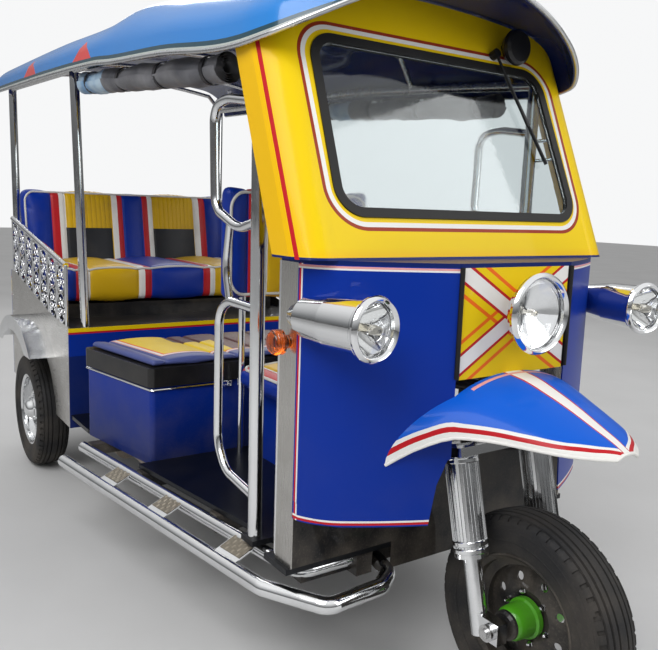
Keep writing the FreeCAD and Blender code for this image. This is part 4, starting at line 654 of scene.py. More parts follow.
def backrest_colours(tree):
    """Bench backrest: sewn panels side by side, the yellow ones black in their lower half."""
    _, y, z, _ = object_axes(tree)
    colour = bands(tree, y, -0.6, 0.6, BACKREST_STOPS)
    yellow_panel = near(tree, calc(tree, "ABSOLUTE", y), PANEL_MIDDLE, PANEL_HALF)
    lower = calc(tree, "LESS_THAN", z, PANEL_FOOT)
    colour = blend_colour(tree, calc(tree, "MULTIPLY", yellow_panel, lower), colour, (0.014, 0.016, 0.02))
    return plain_back(tree, colour)


def backrest_channels(tree):
    """Upright sewn channels in the yellow panels, 24 mm apart."""
    _, y, z, _ = object_axes(tree)
    rib = calc(tree, "ABSOLUTE", calc(tree, "SINE", calc(tree, "MULTIPLY", y, math.pi / 0.024)))
    yellow_panel = near(tree, calc(tree, "ABSOLUTE", y), PANEL_MIDDLE, PANEL_HALF)
    upper = calc(tree, "MULTIPLY", yellow_panel, calc(tree, "GREATER_THAN", z, PANEL_FOOT))
    return calc(tree, "MULTIPLY", calc(tree, "POWER", rib, 0.4), upper)


def seat_colours(tree):
    """Bench seat in the same colours, set out from the middle."""
    return bands(tree, object_axes(tree)[1], -0.6, 0.6, SEAT_STOPS)


def curtain_colours(tree):
    """Coated cloth, grey, with a paler blue lining that shows at the roll's rear end."""
    x, _, _, point = object_axes(tree)
    folds = noise(tree, point, 9.0, 4.0)
    grey = blend_colour(tree, remap(tree, folds, 0.35, 0.65), (0.045, 0.047, 0.060), (0.150, 0.150, 0.165))
    lining = blend_colour(tree, remap(tree, folds, 0.4, 0.6), (0.10, 0.26, 0.48), (0.42, 0.56, 0.68))
    return below(tree, x, -0.175, grey, lining)


def driver_colours(tree):
    """Driver's seat in the bench's colours."""
    return plain_back(tree, bands(tree, object_axes(tree)[1], -0.6, 0.6, DRIVER_STOPS))


def lid_colours(tree):
    """Padded lid: yellow sides and a dark red middle, in a lilac border with three lines."""
    x, y, _, _ = object_axes(tree)
    side = calc(tree, "ABSOLUTE", y)
    colour = below(tree, side, 0.150, YELLOW, (0.085, 0.010, 0.012))
    behind = calc(tree, "LESS_THAN", x, -0.150)
    rear_panel = calc(tree, "MULTIPLY", behind, calc(tree, "LESS_THAN", side, 0.300))
    colour = blend_colour(tree, rear_panel, colour, (0.060, 0.012, 0.014))
    front = calc(tree, "SUBTRACT", 0.132, x)
    flank = calc(tree, "SUBTRACT", calc(tree, "MULTIPLY_ADD", front, 0.165, 0.488), side)
    border = calc(tree, "MINIMUM", front, flank)
    for width, line in ((0.088, ORANGE), (0.080, WHITE), (0.070, PINK), (0.064, (0.070, 0.090, 0.260))):
        colour = below(tree, border, width, colour, line)
    return colour


# %% [markdown]
# The node materials are one table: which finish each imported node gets. A node keeps its shape, so
# its look is all in the finish, and two nodes of the same stuff share one material.

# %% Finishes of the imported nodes
def flutes(tree):
    """Upright moulded ribs of a lamp glass."""
    _, _, _, point = object_axes(tree)
    ribs = new(tree, "TexWave", bands_direction="Y", wave_profile="SIN")
    wire(tree, point, ribs.inputs["Vector"])
    ribs.inputs["Scale"].default_value = 26.0
    ribs.inputs["Distortion"].default_value = 0.0
    return ribs.outputs["Fac"]


CHROME = chrome("chrome")
SATIN = chrome("satin_steel", (0.60, 0.60, 0.60), 0.20, 0.12, 0.3)
DARK_METAL = paint("black_enamel", (0.010, 0.010, 0.011), 0.75, 0.42, 0.3, 0.9)
STAINLESS = stainless("brushed_stainless")
STAINLESS_UPRIGHT = stainless("brushed_stainless_upright", (30.0, 30.0, 0.6))
TYRE_RUBBER = rubber("tyre_rubber", dust=0.40, reach=0.75)
TRIM_RUBBER = rubber("trim_rubber", (0.010, 0.010, 0.010), 0.45, 0.15)
GRIP_RUBBER = rubber("grip_rubber", (0.014, 0.014, 0.015), 0.5, 0.1)
FLOOR_RUBBER = rubber("floor_rubber", (0.0035, 0.0045, 0.0070), 0.30, 0.05, 160.0, 0.6)
WINDOW_GLASS = clear("window_glass", (0.58, 0.65, 0.66))
LAMP_GLASS = clear("lamp_glass", (0.97, 0.98, 1.0), 0.01)
ORANGE_LENS = clear("orange_lens", (0.95, 0.16, 0.01), 0.12, flutes=flutes)
RED_LENS = clear("red_lens", (0.75, 0.01, 0.01), 0.12, flutes=flutes)
BLUE_PAINT = paint("royal_blue", BLUE)
# The white rim paint is a painted highlight along the mudguard's rolled rim.
RIM_HIGHLIGHT_PAINT = paint("rim_highlight_white", WHITE)
GUARD_PAINT = paint("mudguard_paint", mudguard_colours, 0.05)
ROOF_PAINT = paint("roof_paint", roof_colours, 0.10, 0.26, coat=0.35, gloss=0.4)
GUARD_STEEL = chrome("guard_steel", (0.74, 0.75, 0.76), 0.10, 0.15, 0.15)
FINISHES = {
    "fork": CHROME, "front_axle": SATIN, "handlebar": CHROME, "grips": GRIP_RUBBER,
    "chassis": DARK_METAL, "floor": FLOOR_RUBBER, "rear_axle": DARK_METAL, "leaf_springs": DARK_METAL,
    "engine": paint("cast_grey", (0.16, 0.16, 0.155), 0.8, 0.55, 0.0),
    "exhaust": chrome("exhaust_steel", (0.42, 0.36, 0.30), 0.32, 0.2, 0.6),
    "cowl": paint("cowl_paint", cowl_colours), "centre_panel": paint("ribbon_paint", crossed_ribbons, 0.15),
    "front_bulkhead": DARK_METAL, "jambs": STAINLESS_UPRIGHT,
    "windscreen_surround": paint("surround_paint", surround_colours, 0.15),
    "windscreen_gasket": TRIM_RUBBER, "windscreen_glass": WINDOW_GLASS,
    "wiper": paint("wiper_black", BLACK, 0.2, 0.4, 0.3),
    "front_mudguard": GUARD_PAINT, "headlamp": CHROME, "side_lamps": CHROME, "lamp_lenses": LAMP_GLASS,
    "indicators": ORANGE_LENS, "visor_lamp": paint("lamp_black", BLACK, 0.1, 0.3, 0.5),
    "roof": BLUE_PAINT, "roof_visor": BLUE_PAINT,
    "roof_frame": SATIN, "front_posts": CHROME, "hoops": CHROME, "running_boards": CHROME,
    "driver_pedestal": BLUE_PAINT, "driver_cushion": vinyl("driver_vinyl", driver_colours),
    "backrest_frame": CHROME, "driver_backrest": vinyl("driver_back_vinyl", driver_colours),
    "engine_box": paint("box_paint", box_colours, 0.3), "lid_hinge": SATIN,
    "lid_tray": paint("lid_black_paint", BLACK, 0.25, 0.35, 0.4),
    "lid_pad": vinyl("lid_vinyl", lid_colours),
    "bench_riser": paint("riser_paint", riser_colours), "rear_deck": DARK_METAL, "side_panels": STAINLESS,
    "rear_mudguards": GUARD_STEEL, "rear_panel": paint("rear_paint", rear_colours), "tail_lamps": RED_LENS,
    "rear_bumper": CHROME, "number_plate": paint("plate_white", (0.72, 0.72, 0.70), 0.3, 0.4, 0.2),
    "bench_cushion": vinyl("bench_vinyl", seat_colours),
    "bench_backrest": vinyl("bench_back_vinyl", backrest_colours, channels=backrest_channels),
    "rear_posts": CHROME, "armrests": CHROME,
    "side_curtains": vinyl("curtain_cloth", curtain_colours, 0.45, 0.2, 0.2),
    "front_tyre": TYRE_RUBBER, "rear_tyre_left": TYRE_RUBBER, "rear_tyre_right": TYRE_RUBBER,
    "front_rim": DARK_METAL, "rear_rim_left": CHROME, "rear_rim_right": CHROME,
}
for name, finish in FINISHES.items():
    nodes[name].data.materials[0] = finish
print("nodes finished:", len(FINISHES), "of", len(nodes))

# %% [markdown]
# The studio floor is painted light grey, a little mottled, so that the shadows lie on something.

# %% Floor finish
made, tree, shader = surface("studio_floor_paint", (0.62, 0.62, 0.61), 0.6)
_, _, _, point = object_axes(tree)
mottle = remap(tree, noise(tree, point, 1.5, 6.0), 0.3, 0.7, 0.585, 0.635)
tint = new(tree, "CombineColor")
for socket in tint.inputs[:3]:
    wire(tree, mottle, socket)
wire(tree, tint.outputs[0], shader.inputs["Base Color"])
ground.data.materials.append(made)

# %% [markdown]
# Modelling goes as it would by hand: add one primitive, go into edit mode, pick faces or edges by
# where they are, and extrude, inset, spin or bevel them. The helpers below hold the steps that
# repeat. Every piece keeps its object at the origin, so its place is in its mesh.

# %% Modelling helpers
AXLE_X = 1.365
STEER_LEAN = math.radians(14.0)
STEER_UP = Vector((-math.sin(STEER_LEAN), 0, math.cos(STEER_LEAN)))
STEER_FOOT = Vector((AXLE_X - 0.048, 0, 0.260))
made_pieces = []


def only(piece):
    """Selects one piece, makes it active and returns it."""
    bpy.ops.object.select_all(action="DESELECT")
    piece.select_set(True)
    bpy.context.view_layer.objects.active = piece
    return piece


def fresh(kind, name, **settings):
    """Adds one primitive with nothing else selected, and moves its place into its mesh."""
    bpy.ops.object.select_all(action="DESELECT")
    getattr(bpy.ops.mesh, f"primitive_{kind}_add")(**settings)
    piece = bpy.context.object
    piece.name = name
    bpy.ops.object.transform_apply(location=True, rotation=True, scale=True)
    return piece


def editing(piece, on=True):
    """Goes into edit mode on a piece, or out of it."""
    if on:
        only(piece)
    bpy.ops.object.mode_set(mode="EDIT" if on else "OBJECT")


def pick(piece, test, kind="FACE"):
    """In edit mode, selects the faces or edges whose middle and normal pass a test."""
    bpy.ops.mesh.select_mode(type=kind)
    bpy.ops.mesh.select_all(action="DESELECT")
    mesh = bmesh.from_edit_mesh(piece.data)
    mesh.normal_update()
    if kind == "FACE":
        chosen = [face for face in mesh.faces if test(face.calc_center_median(), face.normal)]
    else:
        chosen = [edge for edge in mesh.edges if test((edge.verts[0].co + edge.verts[1].co) / 2, edge)]
    for element in chosen:
        element.select_set(True)
    bmesh.update_edit_mesh(piece.data)
    return len(chosen)


def weld(piece):
    """Merges doubled vertices and turns the normals outwards."""
    editing(piece)
    bpy.ops.mesh.select_all(action="SELECT")
    bpy.ops.mesh.remove_doubles(threshold=0.00005)
    bpy.ops.mesh.normals_make_consistent(inside=False)
    editing(piece, False)
    return piece


def trace(name, points, closed=False):
    """A row of edges drawn from one vertex, point by point."""
    piece = fresh("plane", name, size=0.01)
    editing(piece)
    bpy.ops.mesh.select_mode(type="VERT")
    bpy.ops.mesh.select_all(action="SELECT")
    bpy.ops.mesh.merge(type="CENTER")
    here = Vector((0, 0, 0))
    for index, point in enumerate(points):
        step = Vector(point) - here
        if index:
            bpy.ops.mesh.extrude_vertices_move(TRANSFORM_OT_translate={"value": step})
        else:
            bpy.ops.transform.translate(value=step)
        here = Vector(point)
    if closed:
        mesh = bmesh.from_edit_mesh(piece.data)
        mesh.verts.ensure_lookup_table()
        ends = [vertex for vertex in mesh.verts if len(vertex.link_edges) == 1]
        bpy.ops.mesh.select_all(action="DESELECT")
        for vertex in ends:
            vertex.select_set(True)
        bmesh.update_edit_mesh(piece.data)
        bpy.ops.mesh.edge_face_add()
    editing(piece, False)
    return piece


def thickened(route, name, radius, corners):
    """Turns a row of edges into a round bar with closed ends."""
    only(route)
    bpy.ops.object.convert(target="CURVE")
    bar = bpy.context.object
    bar.data.bevel_depth = radius
    bar.data.bevel_resolution = corners
    bar.data.use_fill_caps = True
    bpy.ops.object.convert(target="MESH")
    bar = bpy.context.object
    bar.name = name
    return weld(bar)


def tube(name, points, radius, closed=False, corners=3):
    """A round bar along a row of points."""
    return thickened(trace(name, points, closed), name, radius, corners)


def turned(name, outline, middle, axis, steps=48):
    """An outline of (along, radius) corners turned round an axis."""
    middle = Vector(middle)
    axis = Vector(axis).normalized()
    out = axis.orthogonal().normalized()
    piece = trace(name, [middle + axis * along + out * radius for along, radius in outline])
    editing(piece)
    bpy.ops.mesh.select_all(action="SELECT")
    bpy.ops.mesh.spin(steps=steps, angle=math.tau, center=middle, axis=axis)
    editing(piece, False)
    return weld(piece)


def block(name, low, high, bevel=0.0, segments=3):
    """A box between two corners with rounded edges."""
    low, high = Vector(low), Vector(high)
    piece = fresh("cube", name, size=1.0, location=(low + high) / 2, scale=high - low)
    if bevel:
        editing(piece)
        bpy.ops.mesh.select_all(action="SELECT")
        bpy.ops.mesh.bevel(offset=bevel, segments=segments, affect="EDGES")
        editing(piece, False)
    return piece


def again(piece, name, change, flip=False):
    """A copy with its own mesh, moved or mirrored by a matrix."""
    only(piece)
    bpy.ops.object.duplicate()
    copy = bpy.context.object
    copy.name = name
    copy.data.transform(change)
    if flip:
        copy.data.flip_normals()
    copy.data.update()
    return copy


def joined(name, pieces):
    """Joins pieces into one."""
    bpy.ops.object.select_all(action="DESELECT")
    for piece in pieces:
        piece.select_set(True)
    bpy.context.view_layer.objects.active = pieces[0]
    bpy.ops.object.join()
    pieces[0].name = name
    return pieces[0]


def dress(piece, finish, body, smooth=35.0):
    """Gives a piece its finish and shading, ties it to a body and adds it to the list of made pieces."""
    piece.data.materials.clear()
    piece.data.materials.append(finish)
    only(piece)
    bpy.ops.object.shade_smooth_by_angle(angle=math.radians(smooth))
    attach(piece, body)
    made_pieces.append(piece)
    return piece


FLIP = Matrix.Scale(-1, 4, (0, 1, 0))


def both(piece, finish, body, smooth=35.0):
    """Dresses a piece on the left and its mirrored copy on the right."""
    name = piece.name
    other = again(piece, name + "_right", FLIP, True)
    piece.name = name + "_left"
    return [dress(piece, finish, body, smooth), dress(other, finish, body, smooth)]


# %% [markdown]
# The tyres are common bias-ply ones: straight ribs round the tread with grooves between, and slots
# across the shoulders. One section is drawn from bead to bead and spun, which is how a tyre's mould
# is cut. The slots are faces of the shoulder rib, every third one, pushed in.

# %% Tyres
TREAD = [
    (0.0, 0.2600), (0.0105, 0.2598), (0.0120, 0.2530), (0.0150, 0.2529), (0.0165, 0.2594),
    (0.0280, 0.2584), (0.0296, 0.2518), (0.0326, 0.2512), (0.0342, 0.2570), (0.0440, 0.2546),
    (0.0456, 0.2488), (0.0478, 0.2480), (0.0492, 0.2526), (0.0580, 0.2478), (0.0622, 0.2420),
    (0.0645, 0.2330), (0.0652, 0.2326), (0.0668, 0.2240), (0.0674, 0.2236), (0.0675, 0.2120),
    (0.0668, 0.1980), (0.0672, 0.1974), (0.0660, 0.1936), (0.0650, 0.1940), (0.0632, 0.1800),
    (0.0606, 0.1690), (0.0590, 0.1640), (0.0560, 0.1625), (0.0480, 0.1560), (0.0400, 0.1535),
]
TYRE_STEPS = 156
tread_side = [(-along, radius) for along, radius in reversed(TREAD[1:])]
front_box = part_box("front_tyre")
front_centre = (Vector(front_box[0]) + Vector(front_box[1])) / 2
section = tread_side + TREAD + [(0.0, 0.1530), tread_side[0]]
tyre = turned("tread_front", section, front_centre, (0, 1, 0), TYRE_STEPS)


def shoulder_slot(middle, normal):
    """True on every third face of the two shoulder ribs."""
    across = abs(middle.y)
    turn = math.atan2(middle.z - front_centre.z, middle.x - front_centre.x)
    index = int(round(turn / math.tau * TYRE_STEPS - 0.5)) % TYRE_STEPS
    return 0.0485 < across < 0.0625 and (middle - front_centre).length > 0.243 and index % 3 == 0


editing(tyre)
slots = pick(tyre, shoulder_slot)
bpy.ops.mesh.extrude_region_shrink_fatten(TRANSFORM_OT_shrink_fatten={"value": -0.0045})
editing(tyre, False)
print("shoulder slots:", slots // 2)
for tag in ("left", "right"):
    low, high = (Vector(corner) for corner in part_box(f"rear_tyre_{tag}"))
    copy = again(tyre, f"tread_rear_{tag}", Matrix.Translation((low + high) / 2 - front_centre))
    dress(copy, TYRE_RUBBER, f"rear_wheel_{tag}", 28.0)
    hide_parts(f"rear_tyre_{tag}")
dress(tyre, TYRE_RUBBER, "front_wheel", 28.0)
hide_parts("front_tyre")

# %% [markdown]
# The front hub is a spun cap in bright green between the fork legs, with chromed nuts round it. The
# rear wheels have a domed cap and five nuts. A nut is a six-sided cylinder with a turned-down crown.

# %% Hubs and wheel nuts
HUB_GREEN = paint("hub_green", (0.060, 0.300, 0.006), 0.25, 0.35, 0.6)
NUT = [(0.0, 1.0), (0.9, 1.0), (1.15, 0.8), (1.6, 0.62), (1.9, 0.3), (1.95, 0.0)]
HUB_CAP = [(0.016, 0.050), (0.030, 0.050), (0.034, 0.044), (0.060, 0.0425), (0.076, 0.0415), (0.086, 0.037),
           (0.0905, 0.030), (0.0905, 0.0185), (0.086, 0.0165), (0.080, 0.016)]
COLLAR = [(0.084, 0.017), (0.096, 0.017), (0.099, 0.021), (0.099, 0.025), (0.090, 0.027), (0.086, 0.027)]
REAR_CAP = [(0.036, 0.046), (0.044, 0.046), (0.050, 0.040), (0.062, 0.036), (0.070, 0.026), (0.0735, 0.012),
            (0.074, 0.0)]


def wheel_nuts(name, middle, out, circle, count, size=0.010):
    """A ring of hexagon nuts with domed tops, facing along out."""
    out = Vector(out)
    across = out.orthogonal().normalized()
    outline = [(along * size, radius * size) for along, radius in NUT]
    nuts = []
    for index in range(count):
        turn = Matrix.Rotation(math.tau * index / count, 3, out)
        foot = Vector(middle) + turn @ (across * circle)
        nuts.append(turned(f"{name}_{index}", outline, foot, out, 6))
    return joined(name, nuts)


for side, tag in ((1, "left"), (-1, "right")):
    out = Vector((0, side, 0))
    cap = turned(f"hub_cap_{tag}", HUB_CAP, front_centre, out, 40)
    dress(cap, HUB_GREEN, "front_wheel")
    ring = turned(f"hub_collar_{tag}", COLLAR, front_centre, out, 6)
    dress(ring, CHROME, "front_wheel", 20.0)
    nuts = wheel_nuts(f"hub_nuts_{tag}", front_centre + out * 0.012, out, 0.064, 6, 0.009)
    dress(nuts, CHROME, "front_wheel", 25.0)
    centre = Vector((AXLE_X - 2.450, side * 0.565, 0.260))
    rear_cap = turned(f"rear_cap_{tag}", REAR_CAP, centre, out, 36)
    dress(rear_cap, CHROME, f"rear_wheel_{tag}")
    rear_nuts = wheel_nuts(f"rear_nuts_{tag}", centre + out * 0.020, out, 0.074, 5, 0.010)
    dress(rear_nuts, CHROME, f"rear_wheel_{tag}", 25.0)

# %% [markdown]
# The upper fork legs wear fluted chrome covers. A cover is an open cylinder whose faces are inset
# one by one and pushed in, which leaves upright flutes between narrow lands, with a rolled band at
# each end.

# %% Fork covers
def leg_point(along, side):
    """Point on a fork leg's middle line."""
    return STEER_FOOT + STEER_UP * along + Vector((0, side * 0.131, 0))


COVER_LOW, COVER_HIGH = 0.172, 0.398
middle = leg_point((COVER_LOW + COVER_HIGH) / 2, 1)
cover = fresh("cylinder", "fork_cover", vertices=30, radius=0.0415, depth=COVER_HIGH - COVER_LOW,
              end_fill_type="NOTHING", location=middle, rotation=(0, -STEER_LEAN, 0))
editing(cover)
bpy.ops.mesh.select_all(action="SELECT")
bpy.ops.mesh.inset(thickness=0.0009, depth=-0.0022, use_individual=True)
editing(cover, False)
BAND = [(-0.006, 0.0375), (-0.006, 0.0425), (-0.004, 0.0440),
        (0.004, 0.0440), (0.006, 0.0425), (0.006, 0.0375)]
rings = [turned(f"cover_band_{index}", BAND, leg_point(along, 1), STEER_UP, 36)
         for index, along in enumerate((COVER_LOW, COVER_LOW + 0.018, COVER_HIGH - 0.010))]
cover = joined("fork_cover", [cover, *rings])
both(cover, CHROME, "steering", 24.0)

# %% [markdown]
# Behind each lamp glass sits a polished bowl with a bulb, because a bright ring with nothing in it
# looks like a toy. The rim is spun too. The axis of a side lamp turns in by ten degrees.

# %% Lamps
BOWL = chrome("reflector", (0.90, 0.90, 0.88), 0.02, 0.03, 0.0)
BULB = clear("bulb_glass", (1.0, 0.96, 0.86), 0.05)
TOE = math.radians(10.0)
TOED_IN = Vector((math.cos(TOE), -math.sin(TOE), 0))
LAMPS = {  # lamp: (middle of the front, axis, radius, depth of the bowl, slot)
    "headlamp": (Vector((AXLE_X - 0.042, 0, 0.998)), Vector((1, 0, 0)), 0.094, 0.030, "headlamp_chrome"),
    "side_lamp": (Vector((AXLE_X - 0.072, 0.464, 0.985)), TOED_IN, 0.068, 0.070, "side_lamp_chrome"),
}
for name, (front, axis, radius, deep, slot) in LAMPS.items():
    bowl_outline = [
        (-0.0150, radius - 0.0112), (-0.020, radius * 0.80), (-0.015 - deep * 0.42, radius * 0.62),
        (-0.015 - deep * 0.75, radius * 0.38), (-0.015 - deep, radius * 0.14), (-0.016 - deep, 0.0),
    ]
    rim_outline = [
        (-0.010, radius + 0.0005), (-0.002, radius + 0.0035), (0.0035, radius + 0.0015),
        (0.0080, radius - 0.0040), (0.0045, radius - 0.0095), (0.0, radius - 0.0115),
    ]
    bulb_outline = [
        (-0.016 - deep * 0.8, 0.0), (-0.016 - deep * 0.8, 0.008), (-0.018 - deep * 0.2, 0.009),
        (-0.017, 0.006), (-0.0165, 0.0),
    ]
    bowl = turned(name + "_bowl", bowl_outline, front, axis, 48)
    rim_ring = turned(name + "_rim", rim_outline, front, axis, 56)
    bulb = turned(name + "_bulb", bulb_outline, front, axis, 20)
    for piece, finish in ((bowl, BOWL), (rim_ring, CHROME), (bulb, BULB)):
        if name == "side_lamp":
            both(piece, finish, "body")
        else:
            dress(piece, finish, "body")

# %% [markdown]
# The roof is one moulded shell, so its skin is one smooth surface. The section is known at twelve
# stations: a straight skirt, a tight shoulder and a wide crown. Between them every number eases from
# one station to the next without passing either, and the sections make the rows of a grid.

# %% Roof skin
ROOF_ROWS = [  # station, half width, hem, crown; in and up of the skirt; in and down of shoulder and top
    (-0.276, 0.108, 1.783, 1.796, 0.018, 0.0035, 0.042, 0.006, 0.068, 0.0025),
    (-0.288, 0.236, 1.745, 1.799, 0.031, 0.017, 0.081, 0.020, 0.136, 0.008),
    (-0.315, 0.358, 1.696, 1.801, 0.033, 0.029, 0.096, 0.045, 0.188, 0.017),
    (-0.364, 0.460, 1.646, 1.803, 0.025, 0.044, 0.096, 0.055, 0.210, 0.023),
    (-0.438, 0.528, 1.610, 1.802, 0.016, 0.064, 0.084, 0.058, 0.205, 0.023),
    (-0.544, 0.548, 1.600, 1.800, 0.014, 0.072, 0.078, 0.056, 0.200, 0.022),
    (-1.000, 0.562, 1.642, 1.845, 0.014, 0.072, 0.078, 0.056, 0.200, 0.022),
    (-1.380, 0.572, 1.668, 1.888, 0.014, 0.072, 0.078, 0.056, 0.200, 0.022),
    (-1.560, 0.580, 1.684, 1.868, 0.012, 0.066, 0.060, 0.058, 0.160, 0.026),
    (-2.050, 0.600, 1.703, 1.880, 0.012, 0.066, 0.060, 0.058, 0.160, 0.026),
    (-2.600, 0.612, 1.720, 1.890, 0.012, 0.066, 0.060, 0.058, 0.160, 0.026),
    (-2.950, 0.618, 1.730, 1.895, 0.012, 0.066, 0.060, 0.058, 0.160, 0.026),
]
BETWEEN = 8


def eased(knots, values, where):
    """A smooth value between knots that never passes them."""
    steps = [b - a for a, b in zip(knots, knots[1:])]
    rises = [(b - a) / step for a, b, step in zip(values, values[1:], steps)]
    slopes = [rises[0]]
    for before, after in zip(rises, rises[1:]):
        slopes.append(2 * before * after / (before + after) if before * after > 0 else 0.0)
    slopes.append(rises[-1])
    index = max(0, min(len(steps) - 1, sum(knot <= where for knot in knots) - 1))
    step = steps[index]
    t = (where - knots[index]) / step
    start = values[index] * (2 * t ** 3 - 3 * t ** 2 + 1) + slopes[index] * step * (t ** 3 - 2 * t ** 2 + t)
    start += values[index + 1] * (3 * t ** 2 - 2 * t ** 3)
    return start + slopes[index + 1] * step * (t ** 3 - t ** 2)


def arc_spots(first, middle, last, count):
    """Places along the circle through three flat points, the first and last among them."""
    (ax, ay), (bx, by), (cx, cy) = first, middle, last
    twice = 2 * (ax * (by - cy) + bx * (cy - ay) + cx * (ay - by))
    a2, b2, c2 = ax * ax + ay * ay, bx * bx + by * by, cx * cx + cy * cy
    ux = (a2 * (by - cy) + b2 * (cy - ay) + c2 * (ay - by)) / twice
    uy = (a2 * (cx - bx) + b2 * (ax - cx) + c2 * (bx - ax)) / twice
    radius = math.hypot(ax - ux, ay - uy)
    begin = math.atan2(ay - uy, ax - ux)
    sweep = (math.atan2(cy - uy, cx - ux) - begin + math.pi) % math.tau - math.pi
    turns = [begin + sweep * step / count for step in range(count + 1)]
    return [(ux + radius * math.cos(turn), uy + radius * math.sin(turn)) for turn in turns]


def roof_section(row):
    """Left half of one section, from the hem to the crown, as places in space."""
    x, half, hem_z, crown, skirt_in, skirt_up, shoulder_in, shoulder_down, top_in, top_down = row
    hem_spot, skirt = (half, hem_z), (half - skirt_in, hem_z + skirt_up)
    shoulder, top = (half - shoulder_in, crown - shoulder_down), (half - top_in, crown - top_down)
    flat = [tuple(a + (b - a) * step / 4 for a, b in zip(hem_spot, skirt)) for step in range(4)]
    flat += arc_spots(skirt, shoulder, top, 8)[:-1]
    flat += arc_spots(top, (0.0, crown), (-top[0], top[1]), 16)[:9]
    return [(AXLE_X + x, y, z) for y, z in flat]


knots = [0.0]
for before, after in zip(ROOF_ROWS, ROOF_ROWS[1:]):
    knots.append(knots[-1] + math.dist(before[:4], after[:4]))
places = [a + (b - a) * step / BETWEEN for a, b in zip(knots, knots[1:]) for step in range(BETWEEN)]
places.append(knots[-1])
roof_grid = [roof_section([eased(knots, column, place) for column in zip(*ROOF_ROWS)]) for place in places]
half_count = len(roof_grid[0])
around = 2 * half_count - 1
skin = fresh("grid", "roof_skin", x_subdivisions=around - 1, y_subdivisions=len(roof_grid) - 1, size=1.0)
laid = skin.data.uv_layers.active.data
ups = {}
for index, vertex in enumerate(skin.data.vertices):
    row, column = divmod(index, around)
    side = 1 if column < half_count else -1
    spot = min(column, around - 1 - column)
    x, y, z = roof_grid[row][spot]
    vertex.co = Vector((x, side * y, z))
    run = roof_grid[row][:spot + 1]
    ups[index] = sum(math.dist(a, b) for a, b in zip(run, run[1:]))
for loop in skin.data.loops:
    laid[loop.index].uv = (skin.data.vertices[loop.vertex_index].co.x, ups[loop.vertex_index])
weld(skin)
shell = skin.modifiers.new("sheet", "SOLIDIFY")
shell.thickness = 0.009
shell.offset = -1.0
only(skin)
bpy.ops.object.modifier_apply(modifier=shell.name)
dress(skin, ROOF_PAINT, "body", 40.0)
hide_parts("roof", "roof_visor")
crown_point = max(vertex.co.z for vertex in skin.data.vertices)
print("roof skin faces:", len(skin.data.polygons), "crown", round(crown_point, 4))

# %% [markdown]
# The front mudguard is a pressed beak of sheet steel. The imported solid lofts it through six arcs, which
# leaves a corner at each. Pressed sheet is fuller at its shoulders and flows from end to end, so the skin
# is drawn again from the same stations, with a quarter ellipse on each side and eased values between.
# Its rear edge lies on the cowl's bowed face, so each line along it starts there.

# %% Mudguard skin
GUARD_ROWS = [  # station, half width, rim height, ridge height
    (-0.250, 0.412, 0.560, 0.852), (-0.180, 0.332, 0.645, 0.851), (-0.120, 0.272, 0.697, 0.848),
    (-0.068, 0.224, 0.723, 0.842), (0.016, 0.176, 0.728, 0.818), (0.080, 0.148, 0.7275, 0.795),
    (0.138, 0.121, 0.727, 0.771), (0.184, 0.080, 0.7255, 0.752), (0.2155, 0.036, 0.724, 0.736),
]
GUARD_STATIONS, *GUARD_COLUMNS = zip(*GUARD_ROWS)
COWL_FACE = arc_spots((0.190, -0.116), (0.300, -0.165), (0.418, -0.230), 24)


def cowl_face(y):
    """Station of the cowl's front face at a distance from the middle."""
    for (near_y, front), (far_y, back) in zip(COWL_FACE, COWL_FACE[1:]):
        if near_y <= y <= far_y:
            return back + (front - back) * (far_y - y) / (far_y - near_y)
    return COWL_FACE[0][1]


def guard_spot(station, angle):
    """A place on the skin: a station along it, and an angle from the rim to the ridge."""
    half, rim, ridge = (eased(GUARD_STATIONS, column, station) for column in GUARD_COLUMNS)
    return Vector((AXLE_X + station, half * math.cos(angle), rim + (ridge - rim) * math.sin(angle)))


def rim_distance(station, angle):
    """Way from the rim to a place on the skin, square to the rim."""
    run = [guard_spot(station, angle * step / 12) for step in range(13)]
    along = (guard_spot(station + 0.002, 0.0) - guard_spot(station - 0.002, 0.0)).length
    return sum((b - a).length for a, b in zip(run, run[1:])) * 0.004 / along


half_count, row_count = 23, 37
around = 2 * half_count - 1
guard = fresh("grid", "mudguard_skin", x_subdivisions=around - 1, y_subdivisions=row_count - 1, size=1.0)
laid = guard.data.uv_layers.active.data
ups = {}
for column in range(around):
    angle = math.pi / 2 * min(column, around - 1 - column) / (half_count - 1)
    start = -0.165
    for _ in range(12):
        start = cowl_face(guard_spot(start, angle).y)
    for row in range(row_count):
        station = GUARD_STATIONS[-1] + (start - GUARD_STATIONS[-1]) * row / (row_count - 1)
        spot = guard_spot(station, angle)
        index = row * around + column
        guard.data.vertices[index].co = (spot.x, spot.y if column < half_count else -spot.y, spot.z)
        ups[index] = rim_distance(station, angle)
for loop in guard.data.loops:
    laid[loop.index].uv = (guard.data.vertices[loop.vertex_index].co.x, ups[loop.vertex_index])
guard_rim = [guard.data.vertices[row * around].co.copy() for row in reversed(range(row_count))]
weld(guard)
shell = guard.modifiers.new("sheet", "SOLIDIFY")
shell.thickness = 0.003
shell.offset = -1.0
only(guard)
bpy.ops.object.modifier_apply(modifier=shell.name)
dress(guard, GUARD_PAINT, "body", 40.0)
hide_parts("front_mudguard")
corner_spot = tuple(round(value, 3) for value in guard_rim[0])
print("mudguard skin faces:", len(guard.data.polygons), "rear corner", corner_spot)

# %% [markdown]
# Beading: a silver hem runs round the roof's edge and arches over the windscreen, black rubber beads
# cover the joints of the centre panel, and the mudguard's rim is rolled over a wire. Each is a round
# bar along the edge that it covers.

